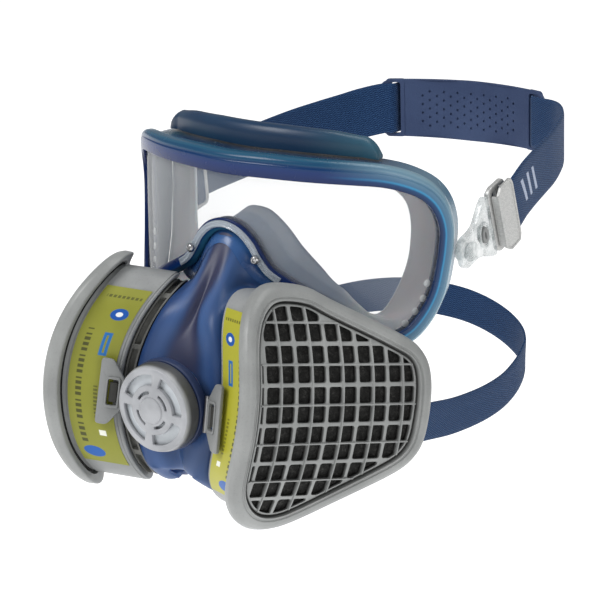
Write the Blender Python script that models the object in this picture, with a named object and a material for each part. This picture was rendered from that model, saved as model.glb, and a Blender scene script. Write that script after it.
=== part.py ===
"""Full-face respirator: wide goggle joined to a half mask with two side filter cartridges,
an exhalation valve, a webbing harness with a rear head pad and a lower neck strap.

Working units are millimetres in a frame with +X to the wearer's left, -Y forward and +Z up,
then everything is moved so that the face seat is the origin and scaled to metres."""
import bpy
import bmesh
import math
import numpy as np
from mathutils import Vector
from mathutils.geometry import delaunay_2d_cdt

# ------------------------------------------------------------------ driving dimensions (mm)
ORIGIN = np.array([0.0, -5.0, 0.0])      # face seat, becomes (0, 0, 0)
LENS_R = 90.0                            # radius of the wrap-around lens
LENS_YC = 37.0                           # axis of the lens cylinder
LENS_T = 1.8
LENS_GAP = 0.35
GAP = 0.35
# lens outline, right half, from brow centre to nose centre:
# angle deg, height, frame width, frame depth, inner lip of the face skirt x y z
GOGGLE = [
    (0.0, 70.6, 7.2, 25, 0.0, -16.0, 62.0),
    (12.0, 70.8, 7.2, 25, 13.0, -15.2, 62.2),
    (24.0, 70.3, 7.0, 24, 26.0, -12.5, 62.4),
    (35.0, 69.5, 6.9, 21, 39.0, -9.5, 61.8),
    (43.0, 68.3, 6.5, 18, 48.0, -7.0, 60.6),
    (49.5, 65.4, 6.2, 15.5, 53.0, -4.8, 58.0),
    (54.5, 61.2, 5.8, 14, 55.8, -2.6, 54.0),
    (58.0, 55.0, 5.3, 13, 57.0, -1.2, 49.0),
    (59.8, 47.0, 5.0, 12.5, 57.5, -0.5, 43.0),
    (59.8, 39.0, 5.0, 12.5, 57.4, -0.6, 36.0),
    (59.0, 30.0, 5.1, 12, 56.8, -1.2, 29.0),
    (57.5, 20.0, 5.3, 12, 55.0, -2.6, 21.0),
    (54.5, 11.0, 5.3, 11, 52.0, -4.4, 13.0),
    (50.5, 4.0, 5.0, 10, 48.6, -6.4, 6.5),
    (46.0, 1.3, 4.5, 9, 45.0, -8.6, 3.6),
    (41.5, 4.0, 4.0, 8, 41.5, -11.0, 4.8),
    (37.0, 8.8, 4.0, 8, 38.0, -13.5, 9.0),
    (32.0, 13.3, 4.0, 7.5, 34.5, -16.2, 14.2),
    (27.0, 17.5, 4.0, 7, 30.0, -18.6, 18.4),
    (22.0, 21.2, 3.8, 6.5, 26.2, -21.0, 23.9),
    (17.5, 24.8, 3.6, 6, 22.2, -23.2, 29.0),
    (13.2, 29.0, 3.4, 6, 18.2, -25.0, 34.0),
    (10.4, 34.5, 3.3, 6, 14.6, -26.6, 39.4),
    (8.0, 40.5, 3.3, 6, 10.7, -28.0, 44.0),
    (4.4, 45.4, 3.3, 6, 5.7, -29.5, 48.2),
    (0.0, 47.2, 3.3, 6, 0.0, -30.2, 49.3),
]
# cartridge frame (right-hand one, +X side)
CART_YAW, CART_ROLL, CART_TILT = 63.8, 9.0, 6.2
CART_P0 = np.array([34.0, -97.0, -15.0])
CART_R = 66.0                            # radius the whole cartridge is bent to
N_COLLAR = -14.3                         # mask collar face
N_BACK, N_RIM, N_FRONT = -9.0, 16.0, 23.5
PLATE_TOP, PLATE_BOT = 21.6, 19.4        # grille plate
COVER = [(21.5, 51.0), (30.5, 49.6), (38.0, 45.8), (54.6, 39.0), (69.8, 32.4), (76.5, 28.6), (80.8, 22.5),
         (82.0, 14.0), (81.6, 5.0), (80.9, -4.5), (80.0, -12.0), (77.2, -18.3), (72.0, -23.8),
         (62.5, -29.2), (52.5, -34.4), (42.6, -39.8), (33.2, -45.2), (24.8, -49.3), (16.0, -50.3),
         (8.0, -48.0), (0.6, -42.0), (-5.2, -32.4), (-6.6, -20.0), (-6.4, -6.0), (-6.0, 7.0),
         (-5.9, 19.0), (-4.6, 31.0), (-0.8, 41.0), (5.8, 48.0), (13.0, 50.9)]
CELL_L, CELL_H = 7.1, 7.9                # grille pitch
BAR_L, BAR_H = 1.9, 1.9                  # grille bars
PORT_LH, PORT_R = (34.0, -2.0), 14.0
# exhalation valve
VALVE_Z = -20.6
SEAT_Y0, SEAT_Y1, SEAT_R = -91.4, -97.2, 19.3
COVER_Y0, COVER_Y1, COVER_R0, COVER_R1 = -97.6, -104.6, 18.9, 17.2
# harness
PIVOT_Y, PIVOT_Z = 4.0, 35.0
NECK_Y, NECK_Z = -10.0, -41.0
STRAP_W, NECK_W, WEB_T = 25.0, 17.0, 1.4
PAD_Y, PAD_Z, PAD_SAG, PAD_ROLL = 139.5, 60.5, 8.5, 2.0
PAD_SLOT = 40.0
CLIP_X = 80.6                            # inner face of the strap clips
CLIP_ANGLES = {1: 21.0, -1: 7.0}         # how far each clip is swung up at rest


# ------------------------------------------------------------------ scene reset and helpers
for o in list(bpy.data.objects):
    bpy.data.objects.remove(o, do_unlink=True)

MATS = {}


def material(name, rgb, metallic=0.0, rough=0.5, alpha=1.0):
    m = bpy.data.materials.new(name)
    m.use_nodes = True
    b = m.node_tree.nodes["Principled BSDF"]
    b.inputs["Base Color"].default_value = (*rgb, 1.0)
    b.inputs["Metallic"].default_value = metallic
    b.inputs["Roughness"].default_value = rough
    b.inputs["Alpha"].default_value = alpha
    return m


PAL = {
    "mask_blue": ((0.07, 0.12, 0.24), 0.0, 0.45, 1.0),
    "seal_blue": ((0.20, 0.30, 0.42), 0.0, 0.4, 1.0),
    "frame_blue": ((0.03, 0.12, 0.22), 0.0, 0.25, 1.0),
    "brow_blue": ((0.02, 0.07, 0.14), 0.0, 0.35, 1.0),
    "lens_clear": ((0.92, 0.94, 0.95), 0.0, 0.05, 0.35),
    "skirt_grey": ((0.42, 0.48, 0.52), 0.0, 0.4, 1.0),
    "clear_plastic": ((0.80, 0.84, 0.86), 0.0, 0.15, 0.35),
    "grey_plastic": ((0.20, 0.21, 0.22), 0.0, 0.5, 1.0),
    "valve_grey": ((0.24, 0.25, 0.26), 0.0, 0.45, 1.0),
    "housing_grey": ((0.28, 0.29, 0.30), 0.0, 0.5, 1.0),
    "media_dark": ((0.02, 0.02, 0.02), 0.0, 0.95, 1.0),
    "label_olive": ((0.40, 0.42, 0.05), 0.0, 0.5, 1.0),
    "navy": ((0.03, 0.06, 0.12), 0.0, 0.5, 1.0),
    "rubber_dark": ((0.03, 0.03, 0.035), 0.0, 0.7, 1.0),
    "pad_blue": ((0.06, 0.09, 0.19), 0.0, 0.7, 1.0),
    "web_blue": ((0.03, 0.07, 0.15), 0.0, 0.9, 1.0),
    "steel": ((0.60, 0.60, 0.60), 1.0, 0.3, 1.0),
    "buckle_grey": ((0.45, 0.46, 0.46), 0.7, 0.35, 1.0),
}


def build(name, verts, faces, mat, origin=None):
    """One closed mesh object; vertices in millimetres."""
    v = np.asarray(verts, float)
    o = ORIGIN if origin is None else np.asarray(origin, float)
    me = bpy.data.meshes.new(name)
    me.from_pydata([tuple(p) for p in (v - o) * 0.001], [], [tuple(f) for f in faces])
    bm = bmesh.new()
    bm.from_mesh(me)
    bmesh.ops.remove_doubles(bm, verts=bm.verts, dist=0.00001)
    bmesh.ops.recalc_face_normals(bm, faces=bm.faces)
    if bm.calc_volume(signed=True) < 0:
        bmesh.ops.reverse_faces(bm, faces=bm.faces)
    bm.to_mesh(me)
    bm.free()
    ob = bpy.data.objects.new(name, me)
    ob.location = tuple((o - ORIGIN) * 0.001)
    bpy.context.scene.collection.objects.link(ob)
    me.materials.append(material(name + "_" + mat, *PAL[mat]))
    return ob


def mirror(v):
    v = np.array(v, float)
    v[..., 0] *= -1.0
    return v


def pair(name, verts, faces, mat, origin=None):
    """The same piece on the wearer's left (+X) and right (-X)."""
    build(name + "_left", verts, faces, mat, origin)
    o2 = None if origin is None else mirror(np.asarray(origin, float))
    build(name + "_right", mirror(np.asarray(verts, float)), [f[::-1] for f in faces], mat, o2)


def loft(secs, closed=True):
    """Faces over rows of closed sections."""
    secs = np.asarray(secs, float)
    n, m = secs.shape[:2]
    faces = []
    for i in range(n if closed else n - 1):
        a, b = i * m, ((i + 1) % n) * m
        for j in range(m):
            k = (j + 1) % m
            faces.append((a + j, a + k, b + k, b + j))
    if not closed:
        faces.append(tuple(range(m))[::-1])
        faces.append(tuple(range((n - 1) * m, n * m)))
    return secs.reshape(-1, 3), faces


def catmull(pts, n_per):
    """Open Catmull-Rom curve through the rows of pts."""
    p = np.asarray(pts, float)
    out = []
    for i in range(len(p) - 1):
        p0, p1, p2, p3 = p[max(i - 1, 0)], p[i], p[i + 1], p[min(i + 2, len(p) - 1)]
        for k in range(n_per):
            t = k / n_per
            out.append(0.5 * (2 * p1 + (p2 - p0) * t + (2 * p0 - 5 * p1 + 4 * p2 - p3) * t * t
                              + (3 * p1 - p0 - 3 * p2 + p3) * t ** 3))
    out.append(p[-1])
    return np.array(out)


def unit(v):
    v = np.asarray(v, float)
    return v / np.linalg.norm(v, axis=-1, keepdims=True)


def inset(poly, d):
    """Offset a counter-clockwise or clockwise closed polygon inwards by d."""
    p = np.asarray(poly, float)
    area = 0.5 * np.sum(p[:, 0] * np.roll(p[:, 1], -1) - np.roll(p[:, 0], -1) * p[:, 1])
    s = 1.0 if area > 0 else -1.0
    a = unit(p - np.roll(p, 1, 0))
    b = unit(np.roll(p, -1, 0) - p)
    na = np.stack([-a[:, 1], a[:, 0]], 1) * s
    nb = np.stack([-b[:, 1], b[:, 0]], 1) * s
    m = unit(na + nb)
    k = np.clip(np.sum(m * na, 1), 0.5, 1.0)
    return p + m * (d / k)[:, None]


def inside(pt, poly):
    x, y = pt
    c = False
    n = len(poly)
    for i in range(n):
        x1, y1 = poly[i]
        x2, y2 = poly[(i + 1) % n]
        if (y1 > y) != (y2 > y) and x < (x2 - x1) * (y - y1) / (y2 - y1) + x1:
            c = not c
    return c


def cdt(outline, holes, extra):
    """Triangles of a flat region with holes. Keeps every input point, in order."""
    pts = [tuple(p) for p in outline]
    edges = [(i, (i + 1) % len(outline)) for i in range(len(outline))]
    for h in holes:
        b = len(pts)
        pts += [tuple(p) for p in h]
        edges += [(b + i, b + (i + 1) % len(h)) for i in range(len(h))]
    pts += [tuple(p) for p in extra]
    vo, _, fo, ov, _, _ = delaunay_2d_cdt([Vector(p) for p in pts], edges, [], 0, 1e-5)
    if len(vo) != len(pts):
        raise ValueError("outline of a sheet crosses itself")
    back = [o[0] for o in ov]
    tris = []
    for f in fo:
        t = [back[i] for i in f]
        cx = sum(pts[i][0] for i in t) / 3
        cy = sum(pts[i][1] for i in t) / 3
        if inside((cx, cy), outline) and not any(inside((cx, cy), h) for h in holes):
            tris.append(tuple(t))
    return np.array(pts), tris


def sheet(outline, holes, extra, top, bot):
    """Closed plate between the surfaces top(u, v) and bot(u, v)."""
    pts, tris = cdt(outline, holes, extra)
    n = len(pts)
    v = [top(*p) for p in pts] + [bot(*p) for p in pts]
    faces = list(tris) + [tuple(i + n for i in t[::-1]) for t in tris]
    b = 0
    for ring in [outline] + list(holes):
        m = len(ring)
        for i in range(m):
            a, c = b + i, b + (i + 1) % m
            faces.append((a, c, c + n, a + n))
        b += m
    return np.array(v), faces


def lathe(profile, steps, place):
    """Closed solid or ring of revolution; profile rows are (radius, along), place maps (x, y, a)."""
    prof = list(profile)
    verts, idx = [], []
    for r, a in prof:
        if r < 1e-6:
            idx.append([len(verts)] * steps)
            verts.append(place(0.0, 0.0, a))
        else:
            row = []
            for k in range(steps):
                t = 2 * math.pi * k / steps
                row.append(len(verts))
                verts.append(place(r * math.cos(t), r * math.sin(t), a))
            idx.append(row)
    faces = []
    n = len(prof)
    last = n if prof[0][0] > 1e-6 else n - 1
    for i in range(last):
        p, q = idx[i], idx[(i + 1) % n]
        for k in range(steps):
            k2 = (k + 1) % steps
            f = []
            for x in (p[k], p[k2], q[k2], q[k]):
                if x not in f:
                    f.append(x)
            if len(f) > 2:
                faces.append(tuple(f))
    return np.array(verts), faces


# ------------------------------------------------------------------ goggle
def cyl(theta, z, rho):
    t = math.radians(theta)
    return np.array([rho * math.sin(t), LENS_YC - rho * math.cos(t), z])


def back_dir(theta):
    s = math.sin(math.radians(theta)) / 0.866
    return unit(np.array([-0.27 * s, 1.0, 0.0]))


half = catmull(GOGGLE, 1)
left = half[1:-1][::-1].copy()
left[:, 0] *= -1
left[:, 4] *= -1
ring = np.vstack([half, left])                      # closed loop, clockwise seen from the front
arc = np.stack([np.radians(ring[:, 0]) * LENS_R, ring[:, 1]], 1)
ta = unit(arc - np.roll(arc, 1, 0))
tb = unit(np.roll(arc, -1, 0) - arc)
NRM = unit(np.stack([-(ta + tb)[:, 1], (ta + tb)[:, 0]], 1))


def rim_pt(i, o, drho, q=0.0):
    """Point of the goggle frame: o outwards from the lens edge, drho radial, q backwards."""
    s, z = arc[i] + NRM[i] * o
    th = math.degrees(s / LENS_R)
    return cyl(th, z, LENS_R + drho) + back_dir(th) * q


frame_secs = []
for i in range(len(ring)):
    W, D = ring[i, 2], ring[i, 3]
    rec = min(2.2, (W - 1.7) * 0.45)
    frame_secs.append([
        rim_pt(i, -2.2, 2.4), rim_pt(i, W - 1.6, 2.4), rim_pt(i, W, 0.9), rim_pt(i, W, 0.0, D * 0.17),
        rim_pt(i, W - rec, 0.0, D * 0.24), rim_pt(i, W - rec * 0.7, 0.0, D - 1.2),
        rim_pt(i, max(W - rec - 1.2, 1.7), 0.0, D), rim_pt(i, 0.8, 0.0, D),
        rim_pt(i, 0.8, -3.6), rim_pt(i, -1.9, -3.6), rim_pt(i, -1.9, -2.25),
        rim_pt(i, 0.35, -2.25), rim_pt(i, 0.35, 0.4), rim_pt(i, -2.2, 0.4)])
v, f = loft(frame_secs)
build("goggle_frame", v, f, "frame_blue")

lens_out = [(a[0], a[1]) for a in arc]
rows = []
for th in range(-52, 53, 8):
    for z in (15.0, 32.0, 51.0, 63.0):
        p = (math.radians(th) * LENS_R, z)
        ok = inside(p, lens_out) and min(np.hypot(*(np.array(lens_out) - p).T)) > 3.5
        if ok:
            rows.append(p)
v, f = sheet(lens_out, [], rows,
             lambda s, z: cyl(math.degrees(s / LENS_R), z, LENS_R),
             lambda s, z: cyl(math.degrees(s / LENS_R), z, LENS_R - LENS_T))
build("lens", v, f, "lens_clear")

# soft strip across the brow, standing on the recessed top of the frame
brow = []
for k in range(19):
    th = -39.0 + 78.0 * k / 18
    e = 1.0 - (abs(th) / 39.0) ** 6 * 0.55
    zt = np.interp(abs(th), [0, 12, 24, 35, 43, 49.5], [70.6, 70.8, 70.3, 69.5, 68.3, 65.4])
    z0 = zt + np.interp(abs(th), [0, 24, 44], [6.25, 6.15, 5.6]) + 0.2
    b0 = cyl(th, 0, LENS_R)
    bd = back_dir(th)
    c = math.cos(math.radians(th)) ** 0.35
    drop = np.interp(abs(th), [0, 26, 39], [0.0, 0.3, 1.6])
    q0, q1 = 14.0 * c, (24.5 * c if abs(th) < 30 else np.interp(abs(th), [30, 39], [22.5, 17.5]))
    q0 = min(q0, q1 - 7.0)

    def pt(q, h):
        p = b0 + bd * q
        return np.array([p[0], p[1], z0 + h])
    brow.append([pt(q0, 0.2), pt(q0 + 0.3, 6.6 * e), pt(q0 + 1.8, (9.4 - drop) * e), pt(q0 + 4.6, (10.2 - drop) * e),
                 pt(q1 - 1.4, (8.6 - drop) * e), pt(q1, 5.0 * e), pt(q1, 0.2)])
v, f = loft(brow, closed=False)
build("brow_bar", v, f, "brow_blue")

# face skirt: starts behind the frame, swells backwards and curls in to the inner lip
skirt = []
for i in range(len(ring)):
    W, D = ring[i, 2], ring[i, 3]
    lip = np.array([ring[i, 4], ring[i, 5], ring[i, 6]])
    a0 = rim_pt(i, max(W - 2.6, 1.9), 0.0, D + GAP)
    a1 = rim_pt(i, 0.9, 0.0, D + GAP)
    inward = unit(a1 - a0)
    bd = back_dir(ring[i, 0])
    run = lip - 0.5 * (a0 + a1)
    swell = 1.0 if ring[i, 1] > 60 or abs(ring[i, 0]) > 44 else 0.35
    mid = 0.5 * (a0 + a1) + run * 0.22 + bd * 6.0 * swell
    mid2 = 0.5 * (a0 + a1) + run * 0.66 + bd * 4.6 * swell
    d1 = unit(mid2 - a0)
    d2 = unit(lip - mid)
    fwd = -bd

    def off(p, d, t):
        # half thickness normal to the run direction, in the plane of the section
        tang = unit(np.cross(inward, bd))
        nn = unit(np.cross(tang, d))
        return p + nn * t, p - nn * t
    m0, m1 = off(mid, d1, 0.9)
    k0, k1 = off(mid2, d2, 0.8)
    l0, l1 = off(lip, d2, 0.5)
    skirt.append([a0, m0, k0, l0, l1, k1, m1, a1])
sk = np.array(skirt)
# keep the two sides of the section in the same order all the way round
for i in range(len(sk)):
    if np.linalg.norm(sk[i, 1] - sk[i, 0]) + np.linalg.norm(sk[i, 6] - sk[i, 7]) > \
       np.linalg.norm(sk[i, 6] - sk[i, 0]) + np.linalg.norm(sk[i, 1] - sk[i, 7]):
        sk[i] = sk[i][[0, 6, 5, 4, 3, 2, 1, 7]]
v, f = loft(sk)
build("goggle_skirt", v, f, "skirt_grey")


# ------------------------------------------------------------------ cartridge frame
_t, _d, _i = (math.radians(a) for a in (CART_YAW, CART_ROLL, CART_TILT))
_n0 = np.array([math.sin(_t), -math.cos(_t), 0.0])
_b = np.array([math.cos(_t), math.sin(_t), 0.0])
_z = np.array([0.0, 0.0, 1.0])
_h0 = _z * math.cos(_d) + _b * math.sin(_d)
CL = _b * math.cos(_d) - _z * math.sin(_d)
CN = _n0 * math.cos(_i) + _h0 * math.sin(_i)
CH = _h0 * math.cos(_i) - _n0 * math.sin(_i)


def cart(L, H, N):
    return CART_P0 + CL * L + CH * H + CN * (N - H * H / (2 * CART_R))


def lh_rows(poly, step_l=11.0, step_h=8.0, clear=2.5, holes=()):
    """Interior points on rows of constant height so that bent plates stay bent."""
    out = []
    P = np.asarray(poly)
    H = -48.0
    while H <= 48.0:
        L = -4.0
        while L <= 84.0:
            p = np.array([L, H])
            if inside(p, poly) and np.min(np.hypot(*(P - p).T)) > clear:
                if all((not inside(p, h)) and np.min(np.hypot(*(np.asarray(h) - p).T)) > clear * 0.6 for h in holes):
                    out.append((L, H))
            L += step_l
        H += step_h
    return out


cover_out = np.array(COVER)
house_out = inset(cover_out, 5.6)
for _p in house_out:                     # upper rear edge drops clear of the goggle frame
    if _p[1] > 0:
        _k = min(max((_p[0] - 22.0) / 16.0, 0.0), 1.0)
        _p[1] -= 4.2 * _k * _k * (3 - 2 * _k) * min(_p[1] / 20.0, 1.0)
port_hole = [(PORT_LH[0] + PORT_R * math.cos(a), PORT_LH[1] + PORT_R * math.sin(a))
             for a in np.linspace(0, 2 * math.pi, 16, endpoint=False)]


def cup(outer, inner, floor_holes, n_open, n_floor_in, n_floor_out, flare=None, lip=None, rows_in=(), rows_out=()):
    """Bent tray. outer/inner outlines, open end at n_open, floor between n_floor_in and n_floor_out.
    lip = (outline, height) raises a border around the outside of the floor; flare = list of
    (outline, n) sections between the open end and the floor on the outside."""
    verts, faces = [], []

    def add_ring(poly, n):
        b = len(verts)
        verts.extend(cart(p[0], p[1], n) for p in poly)
        return b, len(poly)

    def bridge(a, b):
        for i in range(a[1]):
            j = (i + 1) % a[1]
            faces.append((a[0] + i, a[0] + j, b[0] + j, b[0] + i))
    ins_open = add_ring(inner, n_open)
    first = add_ring(outer if not flare else flare[0][0], n_open)
    bridge(ins_open, first)
    prev = first
    for poly, n in (flare or [])[1:]:
        cur = add_ring(poly, n)
        bridge(prev, cur)
        prev = cur
    out_poly = outer
    if lip:
        cur = add_ring(lip[0], lip[1])
        bridge(prev, cur)
        prev = cur
        out_poly = lip[0]
    # outside of the floor
    pts, tris = cdt([tuple(p) for p in out_poly], floor_holes, rows_out)
    b = len(verts)
    verts.extend(cart(p[0], p[1], n_floor_out) for p in pts)
    faces.extend(tuple(b + i for i in t) for t in tris)
    bridge(prev, (b, len(out_poly)))
    # inside of the floor
    pts2, tris2 = cdt([tuple(p) for p in inner], floor_holes, rows_in)
    b2 = len(verts)
    verts.extend(cart(p[0], p[1], n_floor_in) for p in pts2)
    faces.extend(tuple(b2 + i for i in t) for t in tris2)
    bridge(ins_open, (b2, len(inner)))
    o1, o2 = b + len(out_poly), b2 + len(inner)
    for h in floor_holes:
        bridge((o1, len(h)), (o2, len(h)))
        o1 += len(h)
        o2 += len(h)
    return np.array(verts), faces


# filter housing: tray with a round air port in its floor
house_in = inset(house_out, 2.0)
v, f = cup(house_out, house_in, [port_hole], N_RIM, N_BACK + 2.6, N_BACK,
           rows_in=lh_rows(house_in, holes=[port_hole]), rows_out=lh_rows(house_out, holes=[port_hole]))
pair("cartridge_housing", v, f, "housing_grey")

# pleated filter block inside the housing
media_out = inset(house_in, 0.5)
mo = [tuple(p) for p in media_out]
# the front slab spreads past the housing rim and fills the inside of the cover
slab = [tuple(p) for p in inset(cover_out, 5.1)]
N_STEP, N_MED = N_RIM + 0.4, PLATE_BOT - 0.5
verts, faces = [], []
pts, tris = cdt(mo, [], lh_rows(mo, 16.0, 8.0))
verts += [cart(p[0], p[1], N_BACK + 3.2) for p in pts]
faces += [tuple(t) for t in tris]
r0 = len(verts)
verts += [cart(p[0], p[1], N_STEP) for p in mo]
r1 = len(verts)
verts += [cart(p[0], p[1], N_STEP) for p in slab]
r2 = len(verts)
pts, tris = cdt(slab, [], lh_rows(slab, 16.0, 8.0))
verts += [cart(p[0], p[1], N_MED) for p in pts]
faces += [tuple(r2 + i for i in t[::-1]) for t in tris]
m = len(mo)
for a, b in ((0, r0), (r0, r1), (r1, r2)):
    for i in range(m):
        j = (i + 1) % m
        faces.append((a + i, b + i, b + j, a + j))
v, f = np.array(verts), faces
pair("filter_media", v, f, "media_dark")

# front cover: flared border and a grid of open cells
grille_out = inset(cover_out, 7.6)
cells = []
i0, j0 = 0.4, 5.0
for ci in range(0, 12):
    for cj in range(-8, 7):
        cx, cy = i0 + ci * CELL_L, j0 + (cj + 0.5) * CELL_H
        a, b = (CELL_L - BAR_L) / 2, (CELL_H - BAR_H) / 2
        quad = [(cx - a, cy - b), (cx + a, cy - b), (cx + a, cy + b), (cx - a, cy + b)]
        lim = inset(grille_out, 0.9)
        n_in = [inside(q, lim) for q in quad]
        if all(n_in):
            cells.append(quad)
        elif sum(n_in) == 3:
            k = n_in.index(False)
            q = np.array(quad)
            c0, c1 = q[(k - 1) % 4], q[(k + 1) % 4]
            p1 = c0 + (q[k] - c0) * 0.25
            p2 = c1 + (q[k] - c1) * 0.25
            poly = [tuple(x) for x in (q[(k + 2) % 4], c0, p1, p2, c1)]
            poly = [poly[0]] + ([poly[1], poly[2], poly[3], poly[4]])
            if all(inside(x, inset(grille_out, 0.3)) for x in poly):
                cells.append(poly)
cover_in = inset(cover_out, 4.2)
v, f = cup(cover_out, cover_in, cells, N_RIM + GAP, PLATE_BOT, PLATE_TOP,
           flare=[(inset(cover_out, 3.0), N_RIM + GAP), (inset(cover_out, 0.5), N_RIM + 2.6),
                  (cover_out, N_FRONT - 3.0), (inset(cover_out, 1.4), N_FRONT - 0.6),
                  (inset(cover_out, 3.6), N_FRONT), (inset(cover_out, 6.0), N_FRONT - 0.4)],
           lip=(grille_out, PLATE_TOP + 0.02))
pair("cartridge_cover", v, f, "grey_plastic")

# label strip on the front side of the housing
strip = [p for p in house_out if p[0] < 8 and abs(p[1]) < 39.5]
strip = sorted(strip, key=lambda p: p[1])
strip = np.array(strip)
hh = np.linspace(-36.5, 38.0, 13)
ll = np.interp(hh, strip[:, 1], strip[:, 0])
secs = []
for L, H in zip(ll, hh):
    secs.append([cart(L - 0.45, H, -6.0), cart(L - 0.95, H, -6.0), cart(L - 0.95, H, 13.4), cart(L - 0.45, H, 13.4)])
v, f = loft(secs, closed=False)
pair("cartridge_label", v, f, "label_olive")

# port ring between mask collar and housing, with open windows around its edge
collar = inset(cover_out, 8.2)
base = [tuple(p) for p in inset(cover_out, 8.6)]


def resample(poly, step):
    out = []
    P = np.asarray(poly, float)
    for i in range(len(P)):
        a, b = P[i], P[(i + 1) % len(P)]
        n = max(1, int(round(np.linalg.norm(b - a) / step)))
        for k in range(n):
            out.append(a + (b - a) * k / n)
    return np.array(out)


ro = resample(base, 6.0)
ri = inset(ro, 3.0)
cen = np.array([34.0, -1.0])
notched = []
posts = [(-60, -50), (-20, -12), (20, 28), (50, 60), (85, 95), (125, 133), (150, 158), (180, 190), (205, 213), (228, 236), (262, 272)]
ang = np.degrees(np.arctan2(ro[:, 1] - cen[1], ro[:, 0] - cen[0]))
state = []
for k in range(len(ro)):
    a = ang[k] % 360
    state.append(any((lo % 360 <= a <= hi % 360) or (lo % 360 > hi % 360 and (a >= lo % 360 or a <= hi % 360)) for lo, hi in posts))
for k in range(len(ro)):
    if state[k]:
        if not state[k - 1]:
            notched.append(tuple(ri[k]))
        notched.append(tuple(ro[k]))
        if not state[(k + 1) % len(ro)]:
            if not state[k - 1]:
                t = ro[(k + 1) % len(ro)] - ro[k]
                w = t / np.linalg.norm(t) * 2.2
                notched.append(tuple(ro[k] + w))
                notched.append(tuple(ri[k] + w))
            else:
                notched.append(tuple(ri[k]))
    else:
        notched.append(tuple(ri[k]))
clean = [notched[0]]
for p in notched[1:]:
    if np.hypot(p[0] - clean[-1][0], p[1] - clean[-1][1]) > 0.4:
        clean.append(p)
notched = clean
ring_in = [tuple(p) for p in resample(inset(cover_out, 15.5), 9.0)]
v, f = sheet(notched, [ring_in], [], lambda a, b: cart(a, b, N_BACK - 0.45), lambda a, b: cart(a, b, N_COLLAR + 0.45))
pair("port_ring", v, f, "grey_plastic")

# rubber gasket around each air port
g0 = [(PORT_LH[0] + 17.6 * math.cos(a), PORT_LH[1] + 17.6 * math.sin(a)) for a in np.linspace(0, 2 * math.pi, 16, endpoint=False)]
g1 = [(PORT_LH[0] + 14.6 * math.cos(a), PORT_LH[1] + 14.6 * math.sin(a)) for a in np.linspace(0, 2 * math.pi, 16, endpoint=False)]
v, f = sheet(g0, [g1], [], lambda a, b: cart(a, b, N_BACK - 0.5), lambda a, b: cart(a, b, N_COLLAR + 0.55))
pair("port_gasket", v, f, "rubber_dark")

# thin inhalation flap lying behind the port inside the mask wall
g2 = [(PORT_LH[0] + 12.6 * math.cos(a), PORT_LH[1] + 12.6 * math.sin(a)) for a in np.linspace(0, 2 * math.pi, 16, endpoint=False)]
c0 = cart(PORT_LH[0], PORT_LH[1], N_COLLAR - 0.6)
v, f = sheet(g2, [], [], lambda a, b: cart(a, b, N_COLLAR - 0.5), lambda a, b: cart(a, b, N_COLLAR - 1.4))
pair("inhalation_flap", v, f, "rubber_dark", c0)

# latch plate and its pin on the front of each cartridge
LATCH_L, LATCH_N, LATCH_H = -3.6, -13.0, -5.0
latch_out = [(LATCH_N + 1.5, LATCH_H - 6), (-5.6, LATCH_H - 14), (-0.6, LATCH_H - 14), (-0.6, LATCH_H + 14), (-5.6, LATCH_H + 14), (LATCH_N + 1.5, LATCH_H + 6)]
latch_win = [(-9.0, LATCH_H - 5.5), (-4.4, LATCH_H - 5.5), (-4.4, LATCH_H + 5.5), (-9.0, LATCH_H + 5.5)]


def flat_cart(L, H, N):
    return CART_P0 + CL * L + CH * H + CN * (N - LATCH_H ** 2 / (2 * CART_R))


lo = [tuple(p) for p in resample(latch_out, 7.0)]
v, f = sheet(lo, [latch_win], [], lambda n, h: flat_cart(LATCH_L - 0.9, h, n), lambda n, h: flat_cart(LATCH_L + 0.7, h, n))
pair("latch", v, f, "buckle_grey", flat_cart(LATCH_L, LATCH_H, LATCH_N))
v, f = lathe([(0, -7.5), (1.1, -7.5), (1.1, 7.5), (0, 7.5)], 10,
             lambda x, y, a: flat_cart(LATCH_L + x, LATCH_H + a, LATCH_N + y))
pair("latch_pin", v, f, "steel")

# ------------------------------------------------------------------ half mask shell
top_h = {2: 33.0, 18: 41.0, 36: 36.5, 54: 29.5, 70: 21.5}
bot_h = {2: -33.0, 18: -41.5, 36: -34.5, 54: -25.5, 70: -17.5}
Ls = [2, 18, 36, 54, 70]
# rear edge of the shell, right half, from nose centre to chin centre
REAR = [(0, -54.2, 43.0), (4.6, -54.0, 41.2), (8.6, -53.7, 36.8), (12.2, -53.0, 31.2), (17.5, -52.0, 24.6),
        tuple(cart(37, 42.5, -13.2)), tuple(cart(53, 36.0, -12.8)), tuple(cart(66, 29.5, -12.6)), tuple(cart(75, 16.0, -15.2)),
        tuple(cart(75.5, -6.0, -16.0)), (47.6, -24.0, -44.0), (39.0, -28.5, -52.0), (27.0, -36.0, -59.0), (13.0, -43.5, -63.0), (0, -46.5, -64.0)]
rows = []
VAL = {"T2": (0, -56.5, 38.5), "Tw": (0, -62.0, 29.5), 1.0: (0, -71.5, 16.5), 0.75: (0, -82.5, 1.0), 0.5: (0, -87.0, -14.0),
       0.25: (0, -88.0, -31.0), 0.0: (0, -87.0, -46.0), "Bw": (0, -80.0, -56.0), "B2": (0, -66.0, -61.5)}


def row_cart(t, dn=0.0, dh=0.0, front=True):
    r = []
    for L in Ls:
        H = bot_h[L] + (top_h[L] - bot_h[L]) * t + dh
        r.append(cart(L, H, N_COLLAR + dn))
    return r


def inner_edge(t, dn=-11.2, dh=0.0):
    H = bot_h[2] + (top_h[2] - bot_h[2]) * t + dh
    p = cart(-1.2, H, N_COLLAR + dn)
    p[0] = max(p[0], 3.2)
    return p


R = [np.array(p, float) for p in REAR]
grid = []
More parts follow.
